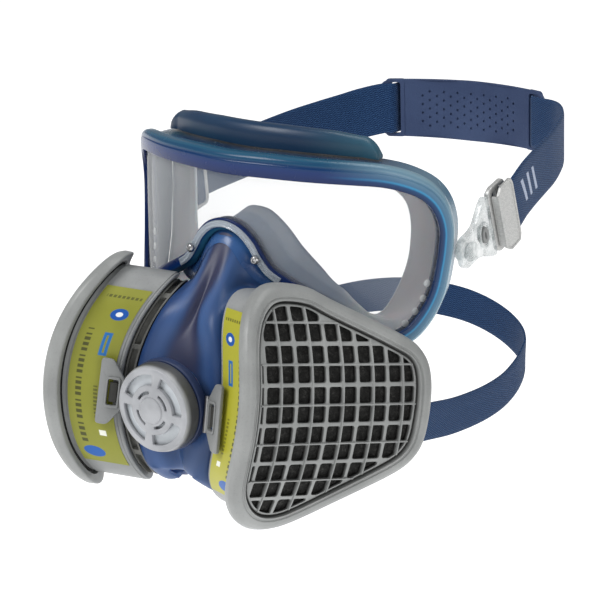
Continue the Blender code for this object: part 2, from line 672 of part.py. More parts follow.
# top boundary row, then a row of the wall, collar rows, wall, underside, bottom boundary row
topw = row_cart(1.0, -6.5, 2.0)
ie = inner_edge(1.0, -12.5, 5.0)
grid.append([R[0], R[1], R[2] * 0.6 + R[3] * 0.4, R[4], R[5], R[6], R[7], cart(73.5, 23.0, -13.8)])
top = row_cart(1.0)
grid.append([np.array(VAL["Tw"], float), np.array([4.6, -64.0, 28.0]), topw[0] * 0.5 + R[3] * 0.5, topw[1] * 0.6 + R[4] * 0.4,
             top[2] * 0.5 + R[5] * 0.5, top[3] * 0.5 + R[6] * 0.5, top[4] * 0.5 + R[7] * 0.5, cart(74.4, 20.0, -14.6)])
for t in (1.0, 0.75, 0.5, 0.25, 0.0):
    rc = row_cart(t)
    e = {1.0: cart(75.0, 16.5, -15.2), 0.75: cart(75.4, 8.5, -15.7), 0.5: cart(75.5, 1.0, -16.0), 0.25: cart(75.5, -7.0, -16.0),
         0.0: R[10] * 0.35 + cart(75.0, -15.0, -16.5) * 0.65}[t]
    grid.append([np.array(VAL[t], float), inner_edge(t)] + rc + [e])
botw = row_cart(0.0, -6.5, -2.5)
grid.append([np.array(VAL["Bw"], float), np.array([6.5, -79.5, -56.0]), botw[0], botw[1] * 0.9 + R[12] * 0.1,
             botw[2] * 0.85 + R[12] * 0.15, botw[3] * 0.8 + R[11] * 0.2, botw[4] * 0.6 + R[11] * 0.4, R[10] * 0.5 + R[11] * 0.5])
grid.append([np.array(VAL["B2"], float), np.array([7.0, -65.5, -61.8]), np.array([13.0, -61.0, -61.5]), np.array([21.0, -53.0, -59.8]),
             np.array([28.0, -46.0, -57.0]), np.array([34.5, -38.0, -54.0]), np.array([38.0, -31.5, -52.4]), R[11]])
grid.append([R[14], R[13] * 0.6 + R[14] * 0.4, R[13], R[13] * 0.5 + R[12] * 0.5, R[12], R[12] * 0.6 + R[11] * 0.4,
             R[12] * 0.3 + R[11] * 0.7, R[12] * 0.12 + R[11] * 0.88])
G = np.array(grid)
# both halves
full = np.concatenate([mirror(G[:, 1:])[:, ::-1], G], axis=1)
nr, nc = full.shape[:2]
du = np.zeros_like(full)
dv = np.zeros_like(full)
du[:, 1:-1] = full[:, 2:] - full[:, :-2]
du[:, 0] = full[:, 1] - full[:, 0]
du[:, -1] = full[:, -1] - full[:, -2]
dv[1:-1] = full[2:] - full[:-2]
dv[0] = full[1] - full[0]
dv[-1] = full[-1] - full[-2]
nm = unit(np.cross(du, dv))
ctr = np.array([0.0, -40.0, -15.0])
sgn = np.sign(np.sum(nm * (full - ctr), axis=-1, keepdims=True))
sgn[sgn == 0] = 1
nm = nm * sgn
thick = 2.4
inner_g = full - nm * thick
verts = np.concatenate([full.reshape(-1, 3), inner_g.reshape(-1, 3)])
faces = []
K = nr * nc
for i in range(nr - 1):
    for j in range(nc - 1):
        a = i * nc + j
        faces.append((a, a + 1, a + nc + 1, a + nc))
        faces.append((a + K, a + nc + K, a + nc + 1 + K, a + 1 + K))
edge = [(0, j) for j in range(nc)] + [(i, nc - 1) for i in range(1, nr)] + [(nr - 1, j) for j in range(nc - 2, -1, -1)] + [(i, 0) for i in range(nr - 2, 0, -1)]
for k in range(len(edge)):
    a = edge[k][0] * nc + edge[k][1]
    b = edge[(k + 1) % len(edge)][0] * nc + edge[(k + 1) % len(edge)][1]
    faces.append((a, b, b + K, a + K))
mask = build("half_mask_body", verts, faces, "mask_blue")


def cutter(name, profile, steps, place):
    cv, cf = lathe(profile, steps, place)
    c = build(name, cv, cf, "navy")
    c.hide_render = True
    c.display_type = 'WIRE'
    return c


def cut(target, c):
    m = target.modifiers.new("cut", 'BOOLEAN')
    m.operation = 'DIFFERENCE'
    m.solver = 'EXACT'
    m.object = c
    bpy.context.view_layer.update()
    dg = bpy.context.evaluated_depsgraph_get()
    me = bpy.data.meshes.new_from_object(target.evaluated_get(dg))
    target.modifiers.remove(m)
    old = target.data
    name = old.name
    target.data = me
    bpy.data.meshes.remove(old)
    me.name = name
    bpy.data.objects.remove(c, do_unlink=True)


cut(mask, cutter("c1", [(0, -12.0), (13.0, -12.0), (13.0, 10.0), (0, 10.0)], 20, lambda x, y, a: np.array([x, -90.0 + a, VALVE_Z + y])))
for s in (1, -1):
    def pl(x, y, a, s=s):
        p = cart(PORT_LH[0], PORT_LH[1], N_COLLAR) + CL * x + CH * y + CN * a
        return p * np.array([s, 1, 1])
    cut(mask, cutter("c2", [(0, -6.0), (14.0, -6.0), (14.0, 5.0), (0, 5.0)], 16, pl))

# soft inner seal: continues the rear edge of the shell to the face and curls inwards
FACE = [(0, -37, 46.0), (6.3, -36, 43.4), (11.3, -34, 37.3), (16.0, -31, 30.3), (21.5, -27, 21.5), (28.5, -23, 13),
        (35, -19, 4), (40.5, -15, -7), (44.5, -11, -19), (45.5, -9, -32), (42.5, -10, -46), (34, -15, -58), (21, -21, -66.5), (9, -25.5, -70),
        (0, -27.5, -71)]
F = np.array(FACE, float)
RR = np.array(REAR, float)
fl = np.vstack([F, mirror(F[1:-1])[::-1]])
rl = np.vstack([RR, mirror(RR[1:-1])[::-1]])
cen3 = np.array([0, -30.0, -14.0])
secs = []
n = len(fl)
for i in range(n):
    tang = unit(rl[(i + 1) % n] - rl[i - 1])
    run = fl[i] - rl[i]
    d = unit(run)
    nn = unit(np.cross(tang, d))
    out = rl[i] - cen3
    out[1] = 0
    if nn @ out < 0:
        nn = -nn
    inn = -unit(np.array([out[0], 0.0, out[2]]))
    s0 = rl[i] + d * 3.4 - nn * 1.5
    s1 = rl[i] + run * 0.55 - nn * 1.9
    s2 = fl[i]
    s3 = fl[i] + inn * 8.0 + np.array([0, -3.5, 0])
    e = 0.8
    secs.append([s0 + nn * e, s1 + nn * e, s2 + nn * e * 0.6 + d * 0.7, s3 + np.array([0, 0.6, 0]),
                 s3 - np.array([0, 0.6, 0]), s2 - d * 1.2 - nn * e, s1 - nn * e, s0 - nn * e])
v, f = loft(secs)
build("half_mask_seal", v, f, "seal_blue")

# ------------------------------------------------------------------ exhalation valve
place_y = lambda x, y, a: np.array([x, a, VALVE_Z + y])
v, f = lathe([(12.6, SEAT_Y0), (SEAT_R - 2.2, SEAT_Y0), (SEAT_R, SEAT_Y0 - 2.0), (SEAT_R, SEAT_Y1), (17.0, SEAT_Y1), (17.0, -94.2), (12.6, -94.2)], 28, place_y)
build("valve_seat", v, f, "navy")
v, f = lathe([(0, -94.6), (15.4, -94.6), (15.4, -95.3), (4.0, -95.6), (0, -95.6)], 24, place_y)
build("exhalation_flap", v, f, "rubber_dark", (0, -95.0, VALVE_Z))


def ring_pts(r, n, a0=0.0):
    return [(r * math.cos(2 * math.pi * k / n + a0), r * math.sin(2 * math.pi * k / n + a0)) for k in range(n)]


def arc_slot(r0, r1, a0, a1, n):
    o = [(r1 * math.cos(a), r1 * math.sin(a)) for a in np.radians(np.linspace(a0, a1, n))]
    i = [(r0 * math.cos(a), r0 * math.sin(a)) for a in np.radians(np.linspace(a1, a0, n))]
    return o + i


slots = []
for k in range(4):
    c = 45 + 90 * k
    slots.append(arc_slot(10.8, 14.6, c - 35, c + 35, 6))
    slots.append(arc_slot(6.8, 8.0, c - 26, c + 26, 4))
outer = ring_pts(COVER_R1, 28)
inner = ring_pts(COVER_R1 - 1.8, 28)
verts, faces = [], []


def vr(ring2, y, dome=0.0, r0=1.0):
    b = len(verts)
    verts.extend(np.array([p[0], y - dome * (1 - (p[0] ** 2 + p[1] ** 2) / COVER_R1 ** 2), VALVE_Z + p[1]]) for p in ring2)
    return b


def br(a, b, m):
    for i in range(m):
        j = (i + 1) % m
        faces.append((a + i, a + j, b + j, b + i))


inb = vr(ring_pts(COVER_R0 - 1.8, 28), COVER_Y0)
o0 = vr(ring_pts(COVER_R0 - 0.4, 28), COVER_Y0)
br(inb, o0, 28)
o1 = vr(ring_pts(COVER_R0, 28), COVER_Y0 - 1.0)
br(o0, o1, 28)
o2 = vr(ring_pts(COVER_R0 - 0.4, 28), COVER_Y0 - 4.4)
br(o1, o2, 28)
o3 = vr(ring_pts(COVER_R1 + 0.6, 28), COVER_Y1 + 0.7)
br(o2, o3, 28)
pts, tris = cdt(outer, slots, ring_pts(4.0, 8))
bo = len(verts)
verts.extend(np.array([p[0], COVER_Y1 - 1.0 * (1 - (p[0] ** 2 + p[1] ** 2) / COVER_R1 ** 2), VALVE_Z + p[1]]) for p in pts)
faces.extend(tuple(bo + i for i in t) for t in tris)
br(o3, bo, 28)
pts2, tris2 = cdt(inner, slots, ring_pts(4.0, 8))
bi = len(verts)
verts.extend(np.array([p[0], COVER_Y1 + 1.9 - 1.0 * (1 - (p[0] ** 2 + p[1] ** 2) / COVER_R1 ** 2), VALVE_Z + p[1]]) for p in pts2)
faces.extend(tuple(bi + i for i in t) for t in tris2)
br(inb, bi, 28)
a, b = bo + 28, bi + 28
for s in slots:
    br(a, b, len(s))
    a += len(s)
    b += len(s)
build("valve_cover", verts, faces, "valve_grey", (0, COVER_Y0, VALVE_Z))

# ------------------------------------------------------------------ nose fittings
# clear clamp bead along the nose arch, seated on the front of the frame
idx = [i for i in range(len(ring)) if abs(ring[i, 0]) <= 16.0 and ring[i, 1] < 50]
order = sorted(idx, key=lambda i: ring[i, 0])
secs = []
for i in order:
    W = ring[i, 2]
    secs.append([rim_pt(i, -1.4, 2.8), rim_pt(i, -0.6, 4.2), rim_pt(i, W - 2.4, 4.2), rim_pt(i, W - 1.6, 2.8)])
v, f = loft(secs, closed=False)
build("nose_clamp", v, f, "clear_plastic")
# small screws holding the clamp ends
k = [i for i in range(len(ring)) if abs(ring[i, 0] - 10.4) < 0.1 and abs(ring[i, 1] - 34.5) < 0.1][0]
pc = rim_pt(k, 0.4, 4.55)
ax = unit(np.array([pc[0], pc[1] - LENS_YC, 0.0]))
e1 = unit(np.cross(ax, [0, 0, 1.0]))
e2 = np.cross(ax, e1)
v, f = lathe([(0, 0), (1.9, 0), (1.9, 1.2), (1.1, 1.8), (0, 1.8)], 12, lambda x, y, a: pc + e1 * x + e2 * y + ax * a)
pair("nose_screw", v, f, "steel")

# ------------------------------------------------------------------ upper harness
X0 = CLIP_X
v, f = lathe([(0, X0 - 1.7), (4.6, X0 - 1.7), (4.6, X0 - 0.4), (3.0, X0 - 0.4), (3.0, X0 + 3.6), (4.3, X0 + 3.6), (4.3, X0 + 4.8), (0, X0 + 4.8)], 18,
             lambda x, y, a: np.array([a, PIVOT_Y + x, PIVOT_Z + y]))
pair("clip_pivot", v, f, "frame_blue")


def clip_pt(s, w, x, side=1):
    """s along the clip from the pivot, w across, x outwards from the clip's inner face."""
    a = math.radians(CLIP_ANGLES[side])
    ca, sa = math.cos(a), math.sin(a)
    return np.array([side * (X0 + x), PIVOT_Y + s * ca - w * sa, PIVOT_Z + s * sa + w * ca])


out = [(-5.5, -4.5), (-2.0, -7.0), (4.0, -7.2), (9.0, -9.0), (15.5, -13.5), (20.5, -14.5), (20.5, 14.5), (15.5, 13.5), (9.0, 8.0), (4.0, 6.8), (-2.0, 7.0), (-5.5, 4.5)]
out = [tuple(p) for p in resample(out, 9.0)]
hole = [(3.35 * math.cos(a), 3.35 * math.sin(a)) for a in np.linspace(0, 2 * math.pi, 14, endpoint=False)]
bhole = [(12.5 + 2.7 * math.cos(a), 4.4 * math.sin(a)) for a in np.linspace(0, 2 * math.pi, 14, endpoint=False)]
bo_ = [(12.5 + 2.3 * math.cos(a), 4.0 * math.sin(a)) for a in np.linspace(0, 2 * math.pi, 14, endpoint=False)]
bk = [(21.0, -14.0), (24.0, -16.0), (34.0, -15.0), (35.5, -12.5), (35.5, 12.5), (34.0, 15.0), (24.0, 16.0), (21.0, 14.0)]
bk = [tuple(p) for p in resample(bk, 12.0)]
s1 = [(24.2, -13.4), (27.6, -13.4), (27.6, 13.4), (24.2, 13.4)]
s2 = [(29.4, -13.4), (33.0, -13.4), (33.0, 13.4), (29.4, 13.4)]
for side, tag in ((1, "_left"), (-1, "_right")):
    # clear clip plate turning on the pivot
    v, f = sheet(out, [hole, bhole], [], lambda s, w: clip_pt(s, w, 3.3, side), lambda s, w: clip_pt(s, w, 0.0, side))
    build("strap_clip" + tag, v, f, "clear_plastic")
    # release button in the clip
    v, f = sheet(bo_, [], [], lambda s, w: clip_pt(s, w, 4.5, side), lambda s, w: clip_pt(s, w, 0.8, side))
    build("clip_button" + tag, v, f, "clear_plastic", clip_pt(12.5, 0, 2.4, side))
    # buckle frame behind the clip: bars with the webbing between them
    v, f = sheet(bk, [s1, s2], [], lambda s, w: clip_pt(s, w, 3.0, side), lambda s, w: clip_pt(s, w, 0.8, side))
    build("buckle" + tag, v, f, "buckle_grey")
    # cam lever lying over the buckle, hinged along its front edge
    secs = []
    for w, sa_, sb_, lug in ((-16.0, 25.8, 34.0, 5.45), (-13.0, 22.4, 35.4, 3.3), (13.0, 22.4, 35.4, 3.3), (16.0, 25.8, 34.0, 5.45)):
        secs.append([clip_pt(s, w, x, side) for s, x in ((sa_, lug), (sa_, 7.1), (sb_, 7.1), (sb_, 5.6), (sa_ + 1.4, 5.6), (sa_ + 1.2, lug))])
    v, f = loft(secs, closed=False)
    build("buckle_lever" + tag, v, f, "buckle_grey", clip_pt(22.4, 0, 3.6, side))


def ribbon(path, wid, width, th):
    """Webbing: path centre points, wid unit width directions."""
    p = np.asarray(path, float)
    w = unit(np.asarray(wid, float))
    secs = []
    for i in range(len(p)):
        t = unit(p[min(i + 1, len(p) - 1)] - p[max(i - 1, 0)])
        ww = unit(w[i] - t * (w[i] @ t))
        nn = np.cross(t, ww)
        secs.append([p[i] + ww * width / 2 + nn * th / 2, p[i] + ww * width / 2 - nn * th / 2,
                     p[i] - ww * width / 2 - nn * th / 2, p[i] - ww * width / 2 + nn * th / 2])
    return loft(secs, closed=False)


rl_ = math.radians(PAD_ROLL)


def pad_pt(s, w, d):
    """Head pad: s along, w across, d outwards (away from the head)."""
    r = (PAD_SLOT ** 2 + PAD_SAG ** 2) / (2 * PAD_SAG)
    a = s / r
    x, y = (r + d) * math.sin(a), PAD_Y + PAD_SAG - r + (r + d) * math.cos(a)
    return np.array([x * math.cos(rl_) - w * math.sin(rl_), y, PAD_Z + x * math.sin(rl_) + w * math.cos(rl_)])


def strap(side):
    s = side
    a = math.radians(CLIP_ANGLES[s])
    # inside tail, out through the buckle, round the head, through the pad slot
    b = [clip_pt(24.6, 0, -0.8, s), clip_pt(29.6, 0, -0.5, s), clip_pt(30.8, 0, 0.4, s), clip_pt(31.6, 0, 3.4, s),
         clip_pt(33.0, 0, 4.3, s), clip_pt(38.0, 0, 4.5, s)]
    wb = [np.array([0, -math.sin(a), math.cos(a)])] * len(b)
    # the two straps hang a little differently at rest
    if s > 0:
        mid = [(83.4, 50, 52.0), (81.0, 62, 54.0), (78.6, 76, 56.2), (76.6, 88, 58.2), (73.6, 100, 60.4), (69.2, 112, 62.2), (63.0, 121, 63.0), (55.2, 128.6, 62.8)]
        lean = [-0.30, -0.26, -0.22, -0.18, -0.12, -0.08, -0.04, 0.0]
    else:
        mid = [(-84.0, 50, 41.0), (-82.2, 62, 42.6), (-80.2, 76, 44.4), (-77.6, 90, 46.4), (-73.6, 102, 48.6), (-67.6, 113, 51.0), (-61.0, 121.5, 53.4), (-54.2, 128.8, 55.8)]
        lean = [-0.13, -0.12, -0.12, -0.1, -0.08, -0.06, -0.04, 0.0]
    wm = [unit(np.array([0.0, q, 1.0])) for q in lean]
    e = [pad_pt(s * 46.6, 0, -2.9), pad_pt(s * 42.4, 0, -2.7), pad_pt(s * 40.6, 0, -1.3), pad_pt(s * 39.4, 0, 1.3), pad_pt(s * 37.6, 0, 2.9), pad_pt(s * 29.0, 0, 2.9)]
    we = [np.array([-math.sin(rl_), 0, math.cos(rl_)])] * len(e)
    path = b + [np.array(p, float) for p in mid] + e
    return ribbon(path, wb + wm + we, STRAP_W, WEB_T)


v, f = strap(1)
build("upper_strap_left", v, f, "web_blue")
v, f = strap(-1)
build("upper_strap_right", v, f, "web_blue")

# head pad with two strap slots and a staggered field of small holes
po = [(-49.0, -9.0), (-47.0, -13.0), (-42.0, -14.4), (0.0, -15.0), (42.0, -14.4), (47.0, -13.0), (49.0, -9.0),
      (49.0, 9.0), (47.0, 13.0), (42.0, 14.4), (0.0, 15.0), (-42.0, 14.4), (-47.0, 13.0), (-49.0, 9.0)]
po = [tuple(p) for p in resample(po, 11.0)]
ph = []
for s in (1, -1):
    a, b = PAD_SLOT - 2.2, PAD_SLOT + 2.2
    ph.append([(s * a, -12.9), (s * b, -12.9), (s * b, 12.9), (s * a, 12.9)][::s])
for ci in range(-5, 6):
    for cj in (-1, 0, 1):
        x, y = ci * 6.4, cj * 7.0 + (3.5 if ci % 2 else 0.0) - (0.0 if ci % 2 else 0.0)
        if abs(y) > 9.5:
            continue
        ph.append([(x + 0.9 * math.cos(a), y + 0.9 * math.sin(a)) for a in (0, math.pi / 2, math.pi, 1.5 * math.pi)])
px = [(x, y) for x in (-30.0, -18.0, -6.0, 6.0, 18.0, 30.0) for y in (-12.0, 12.0)]
v, f = sheet(po, ph, px, lambda s, w: pad_pt(s, w, 1.0), lambda s, w: pad_pt(s, w, -1.0))
build("head_pad", v, f, "pad_blue")

# ------------------------------------------------------------------ neck strap
half_n = [(67.2, -9.0, -41.5), (67.0, 4.0, -44.0), (66.8, 22.0, -47.3), (66.8, 42.0, -49.2), (66.8, 58.0, -49.4), (66.2, 72.0, -48.2), (64.6, 86.0, -44.6),
          (60.6, 98.0, -40.2), (51.5, 107.5, -36.8), (37.0, 114.6, -32.8), (19.0, 118.8, -29.8), (0.0, 120.0, -29.0)]
hn = np.array(half_n)
pth = np.vstack([mirror(hn)[:-1], hn[::-1]])
wdir = []
for p in pth:
    wdir.append(np.array([0.0, 0.0, 1.0]))
v, f = ribbon(pth, wdir, NECK_W, WEB_T)
build("neck_strap", v, f, "web_blue", (0, NECK_Y, NECK_Z))

# brackets that carry the neck strap, and the pins it swings on
path = [(52.2, -20.5, -33.5), (57.5, -16.8, -37.0), (61.5, -12.5, -40.0), (64.3, -9.6, -41.2), (64.9, -7.2, -41.2)]
wd = [(0, 0.2, 1.0), (0, 0.1, 1.0), (0, 0, 1.0), (0, 0, 1.0), (0, 0, 1)]
v, f = ribbon(path, wd, 12.0, 2.2)
pair("neck_bracket", v, f, "frame_blue")
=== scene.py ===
"""Full-face respirator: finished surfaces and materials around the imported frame.

Lengths are worked in millimetres in a frame with +X to the wearer's left, -Y forward and +Z up,
then moved so that the face seat is the origin and scaled to metres."""
import bpy
import bmesh
import math
import numpy as np
from mathutils import Vector, Matrix
from mathutils.geometry import delaunay_2d_cdt


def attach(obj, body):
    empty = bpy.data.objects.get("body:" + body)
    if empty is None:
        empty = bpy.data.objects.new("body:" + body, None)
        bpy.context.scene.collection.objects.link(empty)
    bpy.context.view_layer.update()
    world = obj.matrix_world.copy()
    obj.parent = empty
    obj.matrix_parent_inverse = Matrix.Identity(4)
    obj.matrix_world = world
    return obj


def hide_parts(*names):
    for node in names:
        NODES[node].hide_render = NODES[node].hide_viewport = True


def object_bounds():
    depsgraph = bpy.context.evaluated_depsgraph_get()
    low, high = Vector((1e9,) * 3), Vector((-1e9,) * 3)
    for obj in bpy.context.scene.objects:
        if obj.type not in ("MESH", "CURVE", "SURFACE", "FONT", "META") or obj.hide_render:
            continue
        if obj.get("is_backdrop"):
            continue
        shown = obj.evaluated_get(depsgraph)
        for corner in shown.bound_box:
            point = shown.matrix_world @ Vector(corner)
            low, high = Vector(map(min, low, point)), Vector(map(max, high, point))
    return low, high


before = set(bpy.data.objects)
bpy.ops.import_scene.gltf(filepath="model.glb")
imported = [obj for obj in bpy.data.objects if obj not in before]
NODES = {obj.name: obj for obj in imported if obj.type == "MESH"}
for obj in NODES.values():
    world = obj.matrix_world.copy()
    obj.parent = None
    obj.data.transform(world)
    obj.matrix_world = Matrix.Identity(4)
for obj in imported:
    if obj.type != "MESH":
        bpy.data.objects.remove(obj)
CAD_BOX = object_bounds()

ORIGIN = np.array([0.0, -5.0, 0.0])

# ------------------------------------------------------------------ camera
AZ, EL, DIST = math.radians(35.0), math.radians(17.0), 0.889
target = Vector((0.0, 0.005, 0.0))
cdir = Vector((math.sin(AZ) * math.cos(EL), -math.cos(AZ) * math.cos(EL), math.sin(EL)))
cam_data = bpy.data.cameras.new("camera")
cam = bpy.data.objects.new("camera", cam_data)
bpy.context.scene.collection.objects.link(cam)
cx = Vector((math.cos(AZ), math.sin(AZ), 0.0))
cy = cdir.cross(cx)
cam.matrix_world = Matrix.Translation(target + cdir * DIST) @ Matrix((cx, cy, cdir)).transposed().to_4x4()
cam_data.sensor_width = 36.0
cam_data.lens = 120.0
cam_data.clip_start = 0.01
cam_data.clip_end = 60.0
bpy.context.scene.camera = cam
bpy.context.scene.view_settings.view_transform = 'Standard'

# ------------------------------------------------------------------ light and floor
world = bpy.data.worlds.new("studio")
world.use_nodes = True
world.node_tree.nodes["Background"].inputs[0].default_value = (1.0, 1.0, 1.0, 1.0)
wn = world.node_tree.nodes
wl = world.node_tree.links
lp_ = wn.new("ShaderNodeLightPath")
mr = wn.new("ShaderNodeMapRange")
wl.new(lp_.outputs["Is Camera Ray"], mr.inputs[0])
mr.inputs[3].default_value, mr.inputs[4].default_value = 0.28, 1.0
wl.new(mr.outputs[0], wn["Background"].inputs[1])
bpy.context.scene.world = world


def softbox(name, pos, aim, w, h, power):
    d = bpy.data.lights.new(name, 'AREA')
    d.shape = 'RECTANGLE'
    d.size, d.size_y, d.energy = w, h, power
    o = bpy.data.objects.new(name, d)
    bpy.context.scene.collection.objects.link(o)
    o.location = pos
    o.rotation_euler = (Vector(aim) - Vector(pos)).to_track_quat('-Z', 'Y').to_euler()
    return o


softbox("key", (-0.45, -0.9, 1.0), (0, 0, 0), 0.6, 0.6, 10.5)
softbox("fill", (1.2, -0.55, 0.3), (0, 0, 0), 0.45, 0.9, 3.2)
softbox("top", (0.15, 0.25, 1.25), (0, 0, 0), 0.8, 0.5, 5.0)

bm = bmesh.new()
bmesh.ops.create_grid(bm, x_segments=8, y_segments=8, size=14.0)
me = bpy.data.meshes.new("floor")
bm.to_mesh(me)
bm.free()
floor = bpy.data.objects.new("floor", me)
bpy.context.scene.collection.objects.link(floor)
floor.location = (0, 0, CAD_BOX[0].z - 0.045)
floor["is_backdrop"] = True
fm = bpy.data.materials.new("floor_paper")
fm.use_nodes = True
_b = fm.node_tree.nodes["Principled BSDF"]
_b.inputs["Base Color"].default_value = (0.60, 0.60, 0.60, 1)
_b.inputs["Roughness"].default_value = 0.9
_b.inputs["Specular IOR Level"].default_value = 0.1
_b.inputs["Emission Color"].default_value = (1, 1, 1, 1)
_b.inputs["Emission Strength"].default_value = 0.86
me.materials.append(fm)


# ------------------------------------------------------------------ material helper
def lin(r, g, b):
    return tuple(((v / 255.0 + 0.055) / 1.055) ** 2.4 if v > 10 else v / 255.0 / 12.92 for v in (r, g, b))


class Mat:
    """A Principled material with a short way to chain maths and textures."""

    def __init__(self, name, rough=0.5, metal=0.0, alpha=1.0, spec=0.5, ior=1.46, coat=0.0, coat_rough=0.15,
                 sheen=0.0, sss=0.0, trans=0.0):
        self.m = bpy.data.materials.new(name)
        self.m.use_nodes = True
        self.nt = self.m.node_tree
        self.b = self.nt.nodes["Principled BSDF"]
        i = self.b.inputs
        i["Roughness"].default_value = rough
        i["Metallic"].default_value = metal
        i["Alpha"].default_value = alpha
        i["Specular IOR Level"].default_value = spec
        i["IOR"].default_value = ior
        i["Coat Weight"].default_value = coat
        i["Coat Roughness"].default_value = coat_rough
        i["Sheen Weight"].default_value = sheen
        i["Sheen Roughness"].default_value = 0.4
        i["Subsurface Weight"].default_value = sss
        i["Subsurface Scale"].default_value = 0.004
        i["Transmission Weight"].default_value = trans
        self.tc = self.nt.nodes.new("ShaderNodeTexCoord")
        self.sep = None
        self.bumped = None

    def new(self, kind, **kw):
        n = self.nt.nodes.new(kind)
        for k, v in kw.items():
            setattr(n, k, v)
        return n

    def put(self, sock, v):
        if hasattr(v, "node"):
            self.nt.links.new(v, sock)
        elif isinstance(v, (tuple, list)):
            sock.default_value = (*v[:3], 1.0) if len(sock.default_value) == 4 else tuple(v[:3])
        else:
            sock.default_value = v

    def f(self, op, a, b=0.0, c=None, clamp=False):
        n = self.new("ShaderNodeMath", operation=op, use_clamp=clamp)
        self.put(n.inputs[0], a)
        self.put(n.inputs[1], b)
        if c is not None:
            self.put(n.inputs[2], c)
        return n.outputs[0]

    def step(self, a, lo, hi):
        """0 below lo, 1 above hi, smooth between."""
        n = self.new("ShaderNodeMapRange", interpolation_type='SMOOTHSTEP')
        self.put(n.inputs[0], a)
        n.inputs[1].default_value, n.inputs[2].default_value = lo, hi
        return n.outputs[0]

    def band(self, a, lo, hi, soft):
        return self.f('MULTIPLY', self.step(a, lo - soft, lo + soft), self.f('SUBTRACT', 1.0, self.step(a, hi - soft, hi + soft)))

    def attr(self, name):
        return self.new("ShaderNodeAttribute", attribute_name=name).outputs["Fac"]

    def xyz(self, k):
        """Object coordinate in millimetres."""
        if self.sep is None:
            self.sep = self.new("ShaderNodeSeparateXYZ")
            self.nt.links.new(self.tc.outputs["Object"], self.sep.inputs[0])
        return self.f('MULTIPLY', self.sep.outputs[k], 1000.0)

    def vec(self, x, y, z=0.0):
        n = self.new("ShaderNodeCombineXYZ")
        for s, v in zip(n.inputs, (x, y, z)):
            self.put(s, v)
        return n.outputs[0]

    def noise(self, scale, detail=3.0, rough=0.55, vec=None, stretch=None):
        n = self.new("ShaderNodeTexNoise")
        n.inputs["Scale"].default_value = scale
        n.inputs["Detail"].default_value = detail
        n.inputs["Roughness"].default_value = rough
        v = vec if vec is not None else self.tc.outputs["Object"]
        if stretch:
            mp = self.new("ShaderNodeMapping")
            self.nt.links.new(v, mp.inputs[0])
            mp.inputs["Scale"].default_value = stretch
            v = mp.outputs[0]
        self.nt.links.new(v, n.inputs["Vector"])
        return n.outputs["Fac"]

    def cells(self, scale, vec=None, feature='F1'):
        n = self.new("ShaderNodeTexVoronoi", feature=feature)
        n.inputs["Scale"].default_value = scale
        self.nt.links.new(vec if vec is not None else self.tc.outputs["Object"], n.inputs["Vector"])
        return n.outputs["Distance"]

    def mix(self, fac, a, b, mode='MIX'):
        n = self.new("ShaderNodeMix", data_type='RGBA', blend_type=mode)
        self.put(n.inputs[0], fac)
        self.put(n.inputs[6], a)
        self.put(n.inputs[7], b)
        return n.outputs[2]

    def ramp(self, fac, stops):
        n = self.new("ShaderNodeValToRGB")
        self.put(n.inputs[0], fac)
        e = n.color_ramp.elements
        while len(e) < len(stops):
            e.new(0.5)
        for k, (p, c) in enumerate(stops):
            e[k].position = p
            e[k].color = (*c[:3], 1.0)
        return n.outputs[0]

    def color(self, c):
        self.put(self.b.inputs["Base Color"], c)
        return self

    def rough(self, v):
        self.put(self.b.inputs["Roughness"], v)
        return self

    def bump(self, height, strength=0.3, dist=0.0003):
        n = self.new("ShaderNodeBump")
        n.inputs["Strength"].default_value = strength
        n.inputs["Distance"].default_value = dist
        self.put(n.inputs["Height"], height)
        if self.bumped is not None:
            self.nt.links.new(self.bumped, n.inputs["Normal"])
        self.bumped = n.outputs[0]
        self.nt.links.new(self.bumped, self.b.inputs["Normal"])
        return self


def moulded(name, rgb, rgb2, rough=0.45, grain=900.0, amount=0.12, spec=0.45, **kw):
    """Moulded plastic: slow colour drift, fine grain and uneven gloss."""
    m = Mat(name, rough=rough, spec=spec, **kw)
    slow = m.noise(38.0, 3.0)
    fine = m.noise(grain, 4.0)
    c = m.mix(m.step(slow, 0.35, 0.68), rgb, rgb2)
    c = m.mix(m.f('MULTIPLY', m.step(fine, 0.52, 0.72), 0.16), c, tuple(v * 0.55 for v in rgb))
    m.color(c)
    m.rough(m.f('ADD', rough - 0.06, m.f('MULTIPLY', m.noise(120.0, 4.0), 0.14)))
    m.bump(fine, amount, 0.0002)
    return m


# ------------------------------------------------------------------ materials
M = {}

# translucent blue goggle frame: attribute "band" runs from the lens edge (0) to the outer edge (1)
m = Mat("frame_blue", rough=0.30, spec=0.34, coat=0.08, coat_rough=0.08, sss=0.03)
x, y, z = m.xyz(0), m.xyz(1), m.xyz(2)
# painted light: towards +X the frame is painted with the paler ramp, one side lit lighter than the other
side = m.step(x, 40.0, 74.0)
lowz = m.step(z, 66.0, 40.0)
band, depth = m.attr("band"), m.attr("depth")
deep = m.ramp(band, [(0.0, lin(4, 32, 84)), (0.35, lin(6, 42, 100)), (0.62, lin(10, 54, 94)), (1.0, lin(34, 84, 112))])
# paler colours of the lit side; the thin bright cyan stop at band 0.24 is a painted highlight line
lit_side_pale = m.ramp(band, [(0.0, lin(16, 44, 84)), (0.16, lin(20, 70, 116)), (0.24, lin(56, 150, 198)), (0.32, lin(72, 116, 146)), (1.0, lin(130, 162, 178))])
c = m.mix(m.f('MULTIPLY', side, 0.9), deep, lit_side_pale)
